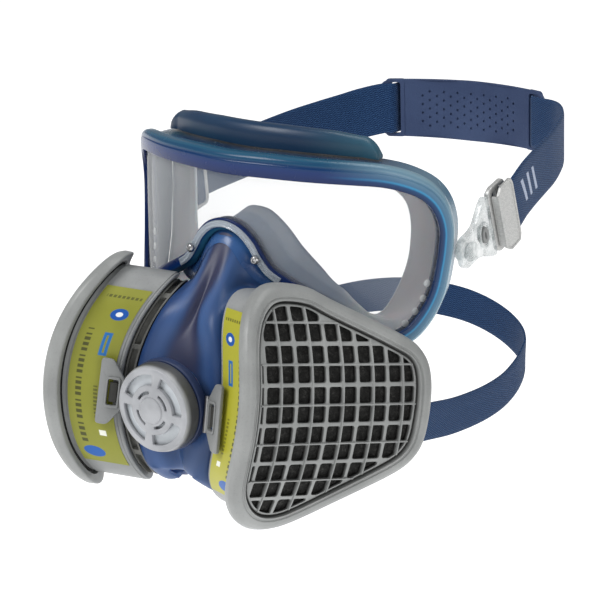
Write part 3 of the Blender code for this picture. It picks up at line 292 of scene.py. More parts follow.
# painted shade: the recessed back and top of the frame take darker blues, with noise-spotted paler patches as painted
# highlights, less of it on the lit +X side
back = m.step(depth, 1.2, 4.5)
top = m.ramp(m.noise(26.0, 2.0, stretch=(1.0, 1.0, 2.0)), [(0.30, lin(16, 42, 78)), (0.52, lin(22, 56, 90)), (0.72, lin(48, 92, 108))])
c = m.mix(m.f('MULTIPLY', back, m.f('SUBTRACT', 1.0, m.f('MULTIPLY', side, 0.75))), c, top)
m.color(c)
m.rough(m.f('ADD', 0.17, m.f('MULTIPLY', m.noise(150.0, 4.0), 0.16)))
m.bump(m.noise(1400.0, 3.0), 0.06, 0.0002)
M["frame"] = m

m = Mat("brow_blue", rough=0.36, spec=0.4, coat=0.05, sss=0.04)
c = m.ramp(m.noise(20.0, 2.5, stretch=(0.6, 1.0, 2.5)), [(0.28, lin(16, 42, 72)), (0.5, lin(24, 54, 84)), (0.72, lin(44, 80, 100))])
# painted light: the brow is painted paler towards +X, one side lit lighter than the other
c = m.mix(m.step(m.xyz(0), 20.0, 66.0), c, lin(54, 98, 116))
m.color(c)
m.rough(m.f('ADD', 0.26, m.f('MULTIPLY', m.noise(90.0, 4.0), 0.2)))
m.bump(m.noise(1100.0, 4.0), 0.12, 0.0002)
M["brow"] = m

m = Mat("lens_clear", rough=0.03, spec=0.6, ior=1.5)
m.color(m.mix(m.noise(14.0, 2.0), lin(168, 174, 178), lin(186, 190, 193)))
lw = m.new("ShaderNodeLayerWeight")
lw.inputs[0].default_value = 0.32
m.put(m.b.inputs["Alpha"], m.f('ADD', 0.15, m.f('MULTIPLY', lw.outputs["Facing"], 0.30), clamp=True))
m.rough(m.f('ADD', 0.02, m.f('MULTIPLY', m.noise(60.0, 3.0), 0.03)))
M["lens"] = m

# skirt: attribute "nose" is 1 over the nose bridge, "run" goes from the frame (0) to the lip (1)
m = Mat("skirt_grey", rough=0.42, spec=0.35, alpha=0.93, sss=0.25)
nose, run = m.attr("nose"), m.attr("run")
base = m.ramp(run, [(0.0, lin(168, 179, 184)), (0.2, lin(208, 217, 219)), (0.6, lin(232, 237, 237)), (1.0, lin(206, 216, 219))])
blue = m.ramp(run, [(0.0, lin(78, 94, 132)), (0.35, lin(134, 152, 178)), (0.7, lin(156, 171, 192)), (1.0, lin(96, 114, 148))])
c = m.mix(nose, base, blue)
c = m.mix(m.f('MULTIPLY', m.step(m.noise(30.0, 3.0, stretch=(1, 1, 0.4)), 0.4, 0.7), 0.25), c, lin(150, 160, 170))
m.color(c)
m.bump(m.noise(700.0, 3.0), 0.10, 0.0002)
M["skirt"] = m

m = Mat("dot_white", rough=0.5, spec=0.3)
m.color(m.mix(m.noise(300.0, 2.0), lin(246, 247, 247), lin(232, 235, 236)))
M["dot"] = m

m = Mat("clear_plastic", rough=0.12, spec=0.75, ior=1.5, alpha=0.5, coat=0.5, coat_rough=0.05)
glint_noise = m.noise(170.0, 3.0)
# painted highlights: noise-spotted near-white patches, made more opaque, stand for glints on the textured clear plastic
m.color(m.ramp(glint_noise, [(0.30, lin(150, 160, 162)), (0.5, lin(212, 218, 218)), (0.7, lin(248, 250, 250))]))
m.put(m.b.inputs["Alpha"], m.f('ADD', 0.34, m.f('MULTIPLY', m.step(glint_noise, 0.35, 0.65), 0.34)))
m.bump(m.noise(240.0, 3.0), 0.7, 0.0006)
M["clear"] = m

m = Mat("nose_clear", rough=0.08, spec=0.8, ior=1.5, coat=0.6, coat_rough=0.04)
lw = m.new("ShaderNodeLayerWeight")
lw.inputs[0].default_value = 0.4
m.color(m.mix(m.step(lw.outputs["Facing"], 0.25, 0.8), lin(208, 218, 226), lin(120, 140, 160)))
m.put(m.b.inputs["Alpha"], m.f('ADD', 0.30, m.f('MULTIPLY', lw.outputs["Facing"], 0.45), clamp=True))
m.bump(m.noise(200.0, 2.0), 0.15, 0.0004)
M["nose_clear"] = m

m = Mat("steel", rough=0.3, metal=1.0)
m.color(m.mix(m.noise(400.0, 3.0), lin(196, 196, 196), lin(150, 150, 152)))
m.bump(m.noise(1500.0, 2.0), 0.1, 0.0001)
M["steel"] = m

# half mask: attribute "nose" marks the darker nose panel
m = Mat("mask_blue", rough=0.42, spec=0.4, coat=0.08, coat_rough=0.3, sss=0.06)
slow = m.noise(22.0, 3.0)
c = m.mix(m.step(slow, 0.35, 0.7), lin(34, 62, 110), lin(46, 78, 126))
c = m.mix(m.attr("nose"), c, m.mix(slow, lin(42, 48, 78), lin(56, 58, 86)))
# painted light: paler blue as a highlight along the rolled ridges beside the nose panel and over the lower part of the
# shell
c = m.mix(m.step(m.attr("painted_light"), 0.0, 1.0), c, lin(72, 102, 154))
m.color(c)
m.rough(m.f('ADD', 0.33, m.f('MULTIPLY', m.noise(70.0, 4.0), 0.2)))
m.bump(m.noise(850.0, 4.0), 0.14, 0.0002)
M["mask"] = m

m = Mat("seal_blue", rough=0.38, spec=0.4, sss=0.2)
m.color(m.mix(m.noise(30.0, 3.0), lin(104, 126, 160), lin(128, 148, 178)))
m.bump(m.noise(600.0, 3.0), 0.1, 0.0002)
M["seal"] = m

M["gasket"] = moulded("gasket_blue", lin(34, 62, 110), lin(52, 92, 146), 0.25, spec=0.55)
M["housing"] = moulded("housing_grey", lin(142, 144, 144), lin(156, 158, 158), 0.38)
m = moulded("cover_grey", lin(142, 144, 143), lin(158, 160, 159), 0.36, 1100.0, 0.10)
c = m.b.inputs["Base Color"].links[0].from_socket
# painted shade: surfaces sunk below the grille top, such as the window walls, are painted dark grey through the "low"
# weight
m.color(m.mix(m.step(m.attr("low"), 0.0, 1.0), c, lin(58, 58, 57)))
M["cover"] = m
M["port"] = moulded("port_grey", lin(96, 96, 92), lin(118, 118, 114), 0.45)
M["slot_dark"] = moulded("slot_dark", lin(42, 42, 40), lin(56, 56, 53), 0.6)
M["latch"] = moulded("latch_grey", lin(118, 120, 120), lin(138, 140, 140), 0.34)
M["navy"] = moulded("seat_navy", lin(34, 46, 78), lin(46, 60, 96), 0.4)
M["bracket"] = moulded("bracket_blue", lin(40, 80, 138), lin(60, 104, 156), 0.28, spec=0.55)
M["rubber"] = moulded("rubber_dark", lin(44, 44, 46), lin(58, 58, 60), 0.65, 700.0, 0.2)
M["flap"] = moulded("flap_grey", lin(176, 180, 184), lin(206, 209, 212), 0.3, 400.0, 0.2)

m = Mat("media_dark", rough=0.95, spec=0.2)
a, b_ = m.noise(420.0, 5.0, 0.7), m.noise(1500.0, 4.0, 0.7)
m.color(m.ramp(m.f('ADD', m.f('MULTIPLY', a, 0.6), m.f('MULTIPLY', b_, 0.4)),
               [(0.30, lin(24, 24, 24)), (0.52, lin(52, 52, 51)), (0.72, lin(96, 95, 93))]))
m.bump(m.f('ADD', a, b_), 0.9, 0.0009)
M["media"] = m

# valve cover: attribute "face" is 1 on the front face
m = Mat("valve_grey", rough=0.34, spec=0.5, coat=0.15)
face = m.attr("face")
c = m.mix(m.step(m.noise(60.0, 3.0), 0.35, 0.65), lin(150, 152, 156), lin(170, 172, 176))
# painted shade: away from the front face the cover is painted dark grey
c = m.mix(face, m.mix(m.noise(80.0, 3.0), lin(66, 67, 68), lin(84, 85, 86)), c)
c = m.mix(m.step(face, 1.1, 1.9), c, m.mix(m.noise(160.0, 3.0), lin(176, 182, 188), lin(216, 221, 225)))
m.color(c)
m.rough(m.f('ADD', 0.26, m.f('MULTIPLY', m.noise(130.0, 4.0), 0.16)))
m.bump(m.noise(1000.0, 3.0), 0.1, 0.0002)
M["valve"] = m

# label film: "su" runs up the strip and "sv" across it, both in millimetres
def label(name, ground, ground2):
    m = Mat(name, rough=0.4, spec=0.4, coat=0.1)
    u, v = m.attr("su"), m.attr("sv")
    c = m.mix(m.noise(90.0, 3.0), ground, ground2)
    ink = lin(54, 56, 30)
    # rows of plain dashes standing in for print
    ph = m.f('FRACT', m.f('MULTIPLY', u, 0.42))
    blk = m.f('FRACT', m.f('MULTIPLY', u, 0.105))
    dash = m.f('MULTIPLY', m.band(ph, 0.14, 0.74, 0.05), m.band(blk, 0.04, 0.86, 0.02))
    row = m.f('MULTIPLY', m.band(v, 2.2, 3.9, 0.15), m.band(u, -29.0, 20.0, 0.2))
    c = m.mix(m.f('MULTIPLY', m.f('MULTIPLY', dash, row), 0.85), c, ink)
    row2 = m.f('MULTIPLY', m.band(v, 7.4, 8.6, 0.12), m.band(u, -19.0, -4.0, 0.2))
    c = m.mix(m.f('MULTIPLY', m.f('MULTIPLY', m.band(m.f('FRACT', m.f('MULTIPLY', u, 0.62)), 0.1, 0.7, 0.06), row2), 0.6), c, ink)
    row3 = m.f('MULTIPLY', m.band(u, 33.6, 34.7, 0.1), m.band(v, 2.0, 12.0, 0.1))
    c = m.mix(m.f('MULTIPLY', m.f('MULTIPLY', m.band(m.f('FRACT', m.f('MULTIPLY', v, 0.8)), 0.1, 0.75, 0.06), row3), 0.7), c, ink)

    def disc(cu, cv, r, rv=1.0):
        du = m.f('SUBTRACT', u, cu)
        dv = m.f('MULTIPLY', m.f('SUBTRACT', v, cv), rv)
        d = m.f('SQRT', m.f('ADD', m.f('MULTIPLY', du, du), m.f('MULTIPLY', dv, dv)))
        return m.f('SUBTRACT', 1.0, m.step(d, r - 0.12, r + 0.12))
    c = m.mix(disc(27.0, 8.6, 2.5), c, lin(24, 84, 168))
    c = m.mix(disc(27.0, 8.6, 1.0), c, lin(238, 241, 240))
    # one plain blue bar and a blue patch near the foot
    bar = m.f('MULTIPLY', m.band(u, 9.0, 19.0, 0.2), m.band(v, 7.2, 9.6, 0.2))
    c = m.mix(bar, c, lin(38, 108, 176))
    c = m.mix(m.f('MULTIPLY', m.band(u, 10.2, 17.8, 0.2), m.band(v, 8.1, 8.7, 0.1)), c, ground)
    c = m.mix(disc(-32.0, 4.6, 2.3, 0.75), c, lin(30, 92, 172))
    c = m.mix(m.f('MULTIPLY', m.band(u, -24.6, -22.4, 0.15), m.band(v, 8.0, 10.0, 0.15)), c, lin(236, 238, 226))
    m.color(c)
    m.bump(m.noise(500.0, 3.0), 0.1, 0.0002)
    return m


M["label_left"] = label("label_yellow", lin(168, 166, 46), lin(180, 176, 56))
M["label_right"] = label("label_olive", lin(132, 134, 48), lin(146, 148, 56))

# webbing: "su" along and "sv" across, millimetres
def webbing(name, dark, mid, light):
    m = Mat(name, rough=0.85, spec=0.2, sheen=0.15)
    u, v = m.attr("su"), m.attr("sv")
    su = m.f('SINE', m.f('MULTIPLY', u, 2 * math.pi / 1.25))
    # cords across the width swap over every other row
    half = m.f('MULTIPLY', m.f('FLOOR', m.f('MULTIPLY', u, 1 / 1.25)), math.pi)
    sv = m.f('SINE', m.f('ADD', m.f('MULTIPLY', v, 2 * math.pi / 1.05), half))
    knit = m.f('ADD', m.f('MULTIPLY', m.f('MULTIPLY', su, sv), 0.5), 0.5)
    fleck = m.noise(1.0, 4.0, 0.7, vec=m.vec(m.f('MULTIPLY', u, 2.2), m.f('MULTIPLY', v, 0.9)))
    c = m.ramp(m.f('ADD', m.f('MULTIPLY', knit, 0.45), m.f('MULTIPLY', fleck, 0.55)), [(0.28, dark), (0.52, mid), (0.78, light)])
    edge = m.step(m.f('ABSOLUTE', v), 0.80, 1.0)
    m.color(c)
    m.bump(knit, 0.55, 0.0004)
    m.bump(fleck, 0.35, 0.0003)
    return m, c


m, c = webbing("web_blue", lin(14, 36, 70), lin(28, 58, 98), lin(62, 96, 136))
m.color(c)
M["web"] = m
m, c = webbing("web_blue_marked", lin(14, 36, 70), lin(28, 58, 98), lin(62, 96, 136))
u, v = m.attr("su"), m.attr("sv")
sk = m.f('ADD', u, m.f('MULTIPLY', v, 0.35))
for lo in (26.0, 33.0, 40.0):
    c = m.mix(m.f('MULTIPLY', m.f('MULTIPLY', m.band(sk, lo, lo + 2.6, 0.25), m.band(v, -5.2, 6.4, 0.25)), 0.9), c, lin(186, 196, 218))
m.color(c)
M["web_marked"] = m

m = Mat("pad_blue", rough=0.62, spec=0.3)
c = m.mix(m.step(m.noise(24.0, 3.0), 0.35, 0.7), lin(50, 65, 98), lin(62, 78, 112))
m.color(m.mix(m.f('MULTIPLY', m.step(m.noise(1600.0, 3.0), 0.5, 0.7), 0.3), c, lin(52, 64, 104)))
m.bump(m.noise(1300.0, 4.0), 0.3, 0.0003)
M["pad"] = m

m = Mat("buckle_silver", rough=0.34, metal=0.35, spec=0.6)
c = m.mix(m.step(m.noise(700.0, 3.0, stretch=(1, 1, 5)), 0.35, 0.65), lin(172, 173, 172), lin(194, 194, 192))
m.color(c)
m.rough(m.f('ADD', 0.26, m.f('MULTIPLY', m.noise(900.0, 3.0, stretch=(1, 1, 6)), 0.2)))
m.bump(m.noise(1200.0, 3.0, stretch=(1, 1, 8)), 0.15, 0.0002)
M["buckle"] = m


# ------------------------------------------------------------------ mesh helpers
def piece(name, verts, faces, mat, body, nodes=(), attrs=None, angle=38.0, mods=None):
    """One closed mesh in the row frame; verts in millimetres."""
    v = (np.asarray(verts, float) - ORIGIN) * 0.001
    me = bpy.data.meshes.new(name)
    me.from_pydata([tuple(p) for p in v], [], [tuple(int(i) for i in f) for f in faces])
    for k, a in (attrs or {}).items():
        at = me.attributes.new(k, 'FLOAT', 'POINT')
        at.data.foreach_set("value", np.asarray(a, np.float32).reshape(-1))
    bm = bmesh.new()
    bm.from_mesh(me)
    bmesh.ops.remove_doubles(bm, verts=bm.verts, dist=0.000004)
    bmesh.ops.dissolve_degenerate(bm, edges=bm.edges, dist=0.000002)
    bmesh.ops.recalc_face_normals(bm, faces=bm.faces)
    if bm.calc_volume(signed=True) < 0:
        bmesh.ops.reverse_faces(bm, faces=bm.faces)
    bm.to_mesh(me)
    bm.free()
    me.shade_smooth()
    me.set_sharp_from_angle(angle=math.radians(angle))
    me.materials.append((mat.m if isinstance(mat, Mat) else mat))
    ob = bpy.data.objects.new(name, me)
    bpy.context.scene.collection.objects.link(ob)
    if mods:
        mods(ob)
    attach(ob, body)
    if nodes:
        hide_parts(*nodes)
    return ob


def mirror(v):
    v = np.array(v, float)
    v[..., 0] *= -1.0
    return v


def pair(name, verts, faces, mat, body, node=None, attrs=None, angle=38.0):
    """body and mat may hold {} for the side."""
    out = []
    for tag in ("left", "right"):
        vv = np.asarray(verts, float) if tag == "left" else mirror(verts)
        ff = faces if tag == "left" else [tuple(f)[::-1] for f in faces]
        mm = mat[tag] if isinstance(mat, dict) else mat
        out.append(piece(name + "_" + tag, vv, ff, mm, body.format(tag), [node + "_" + tag] if node else (), attrs, angle))
    return out


def join_parts(parts):
    """Several (verts, faces, attrs) as one mesh."""
    V, F, A, b = [], [], {}, 0
    for v, f, a in parts:
        V.append(np.asarray(v, float))
        F += [tuple(i + b for i in q) for q in f]
        for k, x in (a or {}).items():
            A.setdefault(k, []).append(np.asarray(x, float).reshape(-1))
        b += len(v)
    return np.concatenate(V), F, {k: np.concatenate(x) for k, x in A.items()}


def loft(secs, closed=True):
    secs = np.asarray(secs, float)
    n, m = secs.shape[:2]
    faces = []
    for i in range(n if closed else n - 1):
        a, b = i * m, ((i + 1) % n) * m
        for j in range(m):
            k = (j + 1) % m
            faces.append((a + j, a + k, b + k, b + j))
    if not closed:
        faces.append(tuple(range(m))[::-1])
        faces.append(tuple(range((n - 1) * m, n * m)))
    return secs.reshape(-1, 3), faces


def catmull(pts, n_per):
    p = np.asarray(pts, float)
    out = []
    for i in range(len(p) - 1):
        p0, p1, p2, p3 = p[max(i - 1, 0)], p[i], p[i + 1], p[min(i + 2, len(p) - 1)]
        for k in range(n_per):
            t = k / n_per
            out.append(0.5 * (2 * p1 + (p2 - p0) * t + (2 * p0 - 5 * p1 + 4 * p2 - p3) * t * t
                              + (3 * p1 - p0 - 3 * p2 + p3) * t ** 3))
    out.append(p[-1])
    return np.array(out)


def catmull_loop(pts, n_per):
    p = np.asarray(pts, float)
    n = len(p)
    out = []
    for i in range(n):
        p0, p1, p2, p3 = p[i - 1], p[i], p[(i + 1) % n], p[(i + 2) % n]
        for k in range(n_per):
            t = k / n_per
            out.append(0.5 * (2 * p1 + (p2 - p0) * t + (2 * p0 - 5 * p1 + 4 * p2 - p3) * t * t
                              + (3 * p1 - p0 - 3 * p2 + p3) * t ** 3))
    return np.array(out)


def unit(v):
    v = np.asarray(v, float)
    return v / np.maximum(np.linalg.norm(v, axis=-1, keepdims=True), 1e-9)


def fillet_rows(secs, r, n=3):
    """Round every corner of closed sections (rows, corners, xyz)."""
    s = np.asarray(secs, float)
    m = s.shape[1]
    rr = np.broadcast_to(np.asarray(r, float), (m,))
    cols = []
    for j in range(m):
        a, p, b = s[:, j - 1], s[:, j], s[:, (j + 1) % m]
        la = np.linalg.norm(a - p, axis=1, keepdims=True)
        lb = np.linalg.norm(b - p, axis=1, keepdims=True)
        d = np.minimum(rr[j], 0.45 * np.minimum(la, lb))
        p0, p2 = p + (a - p) / np.maximum(la, 1e-9) * d, p + (b - p) / np.maximum(lb, 1e-9) * d
        for k in range(n + 1):
            t = k / n
            cols.append((1 - t) ** 2 * p0 + 2 * t * (1 - t) * p + t * t * p2)
    return np.stack(cols, 1)


def fillet2(poly, r, n=3):
    p = np.asarray(poly, float)
    q = fillet_rows(np.concatenate([p, np.zeros((len(p), 1))], 1)[None], r, n)[0][:, :2]
    out = [q[0]]
    for x in q[1:]:
        if np.hypot(*(x - out[-1])) > 0.03:
            out.append(x)
    if np.hypot(*(out[0] - out[-1])) <= 0.03:
        out.pop()
    return np.array(out)


def inset(poly, d):
    p = np.asarray(poly, float)
    area = 0.5 * np.sum(p[:, 0] * np.roll(p[:, 1], -1) - np.roll(p[:, 0], -1) * p[:, 1])
    s = 1.0 if area > 0 else -1.0
    a = unit(p - np.roll(p, 1, 0))
    b = unit(np.roll(p, -1, 0) - p)
    na = np.stack([-a[:, 1], a[:, 0]], 1) * s
    nb = np.stack([-b[:, 1], b[:, 0]], 1) * s
    m = unit(na + nb)
    k = np.clip(np.sum(m * na, 1), 0.5, 1.0)
    return p + m * (d / k)[:, None]


def inside(pt, poly):
    x, y = pt
    P = np.asarray(poly, float)
    x1, y1 = P[:, 0], P[:, 1]
    x2, y2 = np.roll(x1, -1), np.roll(y1, -1)
    hit = (y1 > y) != (y2 > y)
    with np.errstate(divide='ignore', invalid='ignore'):
        xc = (x2 - x1) * (y - y1) / (y2 - y1) + x1
    return bool(np.sum(hit & (x < xc)) % 2)


def area2(p):
    p = np.asarray(p, float)
    return 0.5 * abs(np.sum(p[:, 0] * np.roll(p[:, 1], -1) - np.roll(p[:, 0], -1) * p[:, 1]))


def clip_poly(subject, rect):
    """Part of a closed polygon inside an axis-aligned box (u0, v0, u1, v1)."""
    out = [tuple(p) for p in subject]
    for axis, lim, keep_more in ((0, rect[0], True), (0, rect[2], False), (1, rect[1], True), (1, rect[3], False)):
        src, out = out, []
        for i in range(len(src)):
            a, b = src[i], src[(i + 1) % len(src)]
            ina = a[axis] >= lim if keep_more else a[axis] <= lim
            inb = b[axis] >= lim if keep_more else b[axis] <= lim
            if ina:
                out.append(a)
            if ina != inb:
                t = (lim - a[axis]) / (b[axis] - a[axis])
                out.append((a[0] + (b[0] - a[0]) * t, a[1] + (b[1] - a[1]) * t))
        if len(out) < 3:
            return []
    # drop points closer than 0.25 mm
    q = [out[0]]
    for p in out[1:]:
        if math.hypot(p[0] - q[-1][0], p[1] - q[-1][1]) > 0.25:
            q.append(p)
    if math.hypot(q[0][0] - q[-1][0], q[0][1] - q[-1][1]) <= 0.25:
        q.pop()
    return q


def cdt(outline, holes, extra):
    pts = [tuple(p) for p in outline]
    edges = [(i, (i + 1) % len(outline)) for i in range(len(outline))]
    for h in holes:
        b = len(pts)
        pts += [tuple(p) for p in h]
        edges += [(b + i, b + (i + 1) % len(h)) for i in range(len(h))]
    pts += [tuple(p) for p in extra]
    vo, _, fo, ov, _, _ = delaunay_2d_cdt([Vector(p) for p in pts], edges, [], 0, 1e-6)
    if len(vo) != len(pts):
        raise ValueError("outline of a plate crosses itself")
    back = [o[0] for o in ov]
    tris = []
    P = np.array(pts)
    for f in fo:
        t = [back[i] for i in f]
        c = P[t].mean(0)
        if inside(c, outline) and not any(inside(c, h) for h in holes):
            tris.append(tuple(t))
    return P, tris


def rows_in(poly, step_u, step_v, clear, holes=()):
    P = np.asarray(poly, float)
    out = []
    lo, hi = P.min(0), P.max(0)
    v = math.ceil(lo[1] / step_v) * step_v
    while v < hi[1]:
        u = math.ceil(lo[0] / step_u) * step_u
        while u < hi[0]:
            p = np.array([u, v])
            if inside(p, P) and np.min(np.hypot(*(P - p).T)) > clear:
                if all((not inside(p, h)) and np.min(np.hypot(*(np.asarray(h) - p).T)) > clear * 0.6 for h in holes):
                    out.append((u, v))
            u += step_u
        v += step_v
    return out


def plate(outline, holes, surf, top, bot, bev=0.25, nb=3, extra=(), bev_hole=None):
    """Closed plate with rounded edges. surf(u, v, n) places a point; top and bot are heights n."""
    outline = np.asarray(outline, float)
    holes = [np.asarray(h, float) for h in holes]
    bh = bev if bev_hole is None else bev_hole
    s = 1.0 if top > bot else -1.0
    o_in = inset(outline, bev)
    h_out = [inset(h, -bh) for h in holes]
    pts, tris = cdt(o_in, h_out, extra)
    n = len(pts)
    V = [surf(p[0], p[1], top) for p in pts] + [surf(p[0], p[1], bot) for p in pts]
    F = [tuple(t) for t in tris] + [tuple(i + n for i in t[::-1]) for t in tris]
    base = 0
    for k, ring in enumerate([outline] + holes):
        b = bev if k == 0 else bh
        sign = 1.0 if k == 0 else -1.0
        m = len(ring)
        prev = list(range(base, base + m))
        for side in (0, 1):
            for j in range(1, nb + 1):
                a = (math.pi / 2) * (j / nb if side == 0 else 1 - (j - 1) / nb)
                q = inset(ring, sign * b * (1 - math.sin(a)))
                nn = (top - s * b * (1 - math.cos(a))) if side == 0 else (bot + s * b * (1 - math.cos(a)))
                if side == 1 and j == 1:
                    nn = bot + s * b
                cur = list(range(len(V), len(V) + m))
                V += [surf(p[0], p[1], nn) for p in q]
                for i in range(m):
                    i2 = (i + 1) % m
                    F.append((prev[i], prev[i2], cur[i2], cur[i]))
                prev = cur
        last = list(range(base + n, base + n + m))
        for i in range(m):
            i2 = (i + 1) % m
            F.append((prev[i], prev[i2], last[i2], last[i]))
        base += m
    return np.array(V), F


def lathe(profile, steps, place, r_round=0.0, n_round=3):
    prof = np.asarray(profile, float)
    if r_round > 0:
        # round only the corners that are off the axis
        new = []
        for j in range(len(prof)):
            if prof[j, 0] < 1e-6:
                new.append(prof[j])
                continue
            a, p, b = prof[j - 1], prof[j], prof[(j + 1) % len(prof)]
            la, lb = np.linalg.norm(a - p), np.linalg.norm(b - p)
            d = min(r_round, 0.45 * la, 0.45 * lb)
            p0, p2 = p + (a - p) / max(la, 1e-9) * d, p + (b - p) / max(lb, 1e-9) * d
            for k in range(n_round + 1):
                t = k / n_round
                new.append((1 - t) ** 2 * p0 + 2 * t * (1 - t) * p + t * t * p2)
        prof = np.array(new)
    verts, idx = [], []
    for r, a in prof:
        if r < 1e-6:
            idx.append([len(verts)] * steps)
            verts.append(place(0.0, 0.0, a))
        else:
            row = []
            for k in range(steps):
                t = 2 * math.pi * k / steps
                row.append(len(verts))
                verts.append(place(r * math.cos(t), r * math.sin(t), a))
            idx.append(row)
    faces = []
    n = len(prof)
    last = n if prof[0][0] > 1e-6 else n - 1
    for i in range(last):
        p, q = idx[i], idx[(i + 1) % n]
        for k in range(steps):
            k2 = (k + 1) % steps
            f = []
            for x in (p[k], p[k2], q[k2], q[k]):
                if x not in f:
                    f.append(x)
            if len(f) > 2:
                faces.append(tuple(f))
    return np.array(verts), faces


def ribbon(path, wid, width, th, n_w=14, n_along=5, taper=None):
    """Webbing with thin rounded edges; returns verts, faces and the along/across attributes."""
    p = catmull(path, n_along)
    w = unit(catmull(np.asarray(wid, float), n_along))
    t = unit(np.gradient(p, axis=0))
    ww = unit(w - t * np.sum(w * t, 1, keepdims=True))
    nn = np.cross(t, ww)
    s = np.concatenate([[0], np.cumsum(np.linalg.norm(np.diff(p, axis=0), axis=1))])
    prof = []
    for k in range(n_w + 1):
        prof.append((-1 + 2 * k / n_w, 0.5))
    prof.append((1.0, 0.0))
    for k in range(n_w, -1, -1):
        prof.append((-1 + 2 * k / n_w, -0.5))
    prof.append((-1.0, 0.0))
    prof = np.array(prof)
    edge = 1 - (np.abs(prof[:, 0]) > 0.999) * (prof[:, 1] != 0) * 0.012
    half = width / 2
    secs = p[:, None] + ww[:, None] * (prof[:, 0] * edge * half)[None, :, None] + \
        nn[:, None] * (prof[:, 1] * th * np.where(np.abs(prof[:, 0]) > 0.999, 0.55, 1.0))[None, :, None]
    v, f = loft(secs, closed=False)
    su = np.repeat(s, len(prof))
    sv = np.tile(prof[:, 0] * half, len(p))
    return v, f, {"su": su, "sv": sv}


# ------------------------------------------------------------------ goggle
LENS_R, LENS_YC, LENS_T, GAP = 90.0, 37.0, 1.8, 0.35
GOGGLE = [
    (0.0, 70.6, 7.2, 25, 0.0, -16.0, 62.0),
    (12.0, 70.8, 7.2, 25, 13.0, -15.2, 62.2),
    (24.0, 70.3, 7.0, 24, 26.0, -12.5, 62.4),
    (35.0, 69.5, 6.9, 21, 39.0, -9.5, 61.8),
    (43.0, 68.3, 6.5, 18, 48.0, -7.0, 60.6),
    (49.5, 65.4, 6.2, 15.5, 53.0, -4.8, 58.0),
    (54.5, 61.2, 5.8, 14, 55.8, -2.6, 54.0),
    (58.0, 55.0, 5.3, 13, 57.0, -1.2, 49.0),
    (59.8, 47.0, 5.0, 12.5, 57.5, -0.5, 43.0),
    (59.8, 39.0, 5.0, 12.5, 57.4, -0.6, 36.0),
    (59.0, 30.0, 5.1, 12, 56.8, -1.2, 29.0),
    (57.5, 20.0, 5.3, 12, 55.0, -2.6, 21.0),
    (54.5, 11.0, 5.3, 11, 52.0, -4.4, 13.0),
    (50.5, 4.0, 5.0, 10, 48.6, -6.4, 6.5),
    (46.0, 1.3, 4.5, 9, 45.0, -8.6, 3.6),
    (41.5, 4.0, 4.0, 8, 41.5, -11.0, 4.8),
    (37.0, 8.8, 4.0, 8, 38.0, -13.5, 9.0),
    (32.0, 13.3, 4.0, 7.5, 34.5, -16.2, 14.2),
    (27.0, 17.5, 4.0, 7, 30.0, -18.6, 18.4),
    (22.0, 21.2, 3.8, 6.5, 26.2, -21.0, 23.9),
    (17.5, 24.8, 3.6, 6, 22.2, -23.2, 29.0),
    (13.2, 29.0, 3.4, 6, 18.2, -25.0, 34.0),
    (10.4, 34.5, 3.3, 6, 14.6, -26.6, 39.4),
    (8.0, 40.5, 3.3, 6, 10.7, -28.0, 44.0),
    (4.4, 45.4, 3.3, 6, 5.7, -29.5, 48.2),
    (0.0, 47.2, 3.3, 6, 0.0, -30.2, 49.3),
]


def cyl(theta, z, rho):
    t = math.radians(theta)
    return np.array([rho * math.sin(t), LENS_YC - rho * math.cos(t), z])


def back_dir(theta):
    s = math.sin(math.radians(theta)) / 0.866
    return unit(np.array([-0.27 * s, 1.0, 0.0]))


half = np.array(GOGGLE, float)
lft = half[1:-1][::-1].copy()
lft[:, 0] *= -1
lft[:, 4] *= -1
ring = catmull_loop(np.vstack([half, lft]), 4)
arc = np.stack([np.radians(ring[:, 0]) * LENS_R, ring[:, 1]], 1)
ta = unit(arc - np.roll(arc, 1, 0))
tb = unit(np.roll(arc, -1, 0) - arc)
NRM = unit(np.stack([-(ta + tb)[:, 1], (ta + tb)[:, 0]], 1))
for _ in range(2):
    NRM = unit(NRM * 2 + np.roll(NRM, 1, 0) + np.roll(NRM, -1, 0))


def rim_pt(i, o, drho, q=0.0):
    s, z = arc[i] + NRM[i] * o
    th = math.degrees(s / LENS_R)
    return cyl(th, z, LENS_R + drho) + back_dir(th) * q


BODY = "mask"
secs = []
for i in range(len(ring)):
    W, D = ring[i, 2], ring[i, 3]
    rec = min(2.2, (W - 1.7) * 0.45)
    # a thin step line parts the front band from the swept outer edge
    mid = W * 0.52
    secs.append([
        rim_pt(i, -2.2, 2.35), rim_pt(i, mid - 0.25, 2.55), rim_pt(i, mid + 0.25, 2.2), rim_pt(i, W - 1.5, 2.2),
        rim_pt(i, W, 0.8), rim_pt(i, W, 0.0, D * 0.17),
        rim_pt(i, W - rec, 0.0, D * 0.24), rim_pt(i, W - rec * 0.7, 0.0, D - 1.2),
        rim_pt(i, max(W - rec - 1.2, 1.7), 0.0, D), rim_pt(i, 0.8, 0.0, D),
        rim_pt(i, 0.8, -3.6), rim_pt(i, -1.9, -3.6), rim_pt(i, -1.9, -2.25),
        rim_pt(i, 0.35, -2.25), rim_pt(i, 0.35, 0.4), rim_pt(i, -2.2, 0.4)])
rr = [0.5, 0.3, 0.3, 0.9, 1.0, 1.0, 1.0, 0.8, 0.6, 0.6, 0.5, 0.4, 0.1, 0.1, 0.1, 0.3]
bandv = [0.0, 0.48, 0.56, 0.8, 1.0, 1.0, 0.75, 0.8, 0.6, 0.2, 0.1, 0.0, 0.0, 0.0, 0.0, 0.0]
depv = [0, 0, 0, 0, 0.3, 1.6, 3.2, 10.0, 12.0, 12.0, 3.0, 3.0, 0, 0, 0, 0]
sr = fillet_rows(secs, rr, 3)
v, f = loft(sr)
n_ring = len(ring)
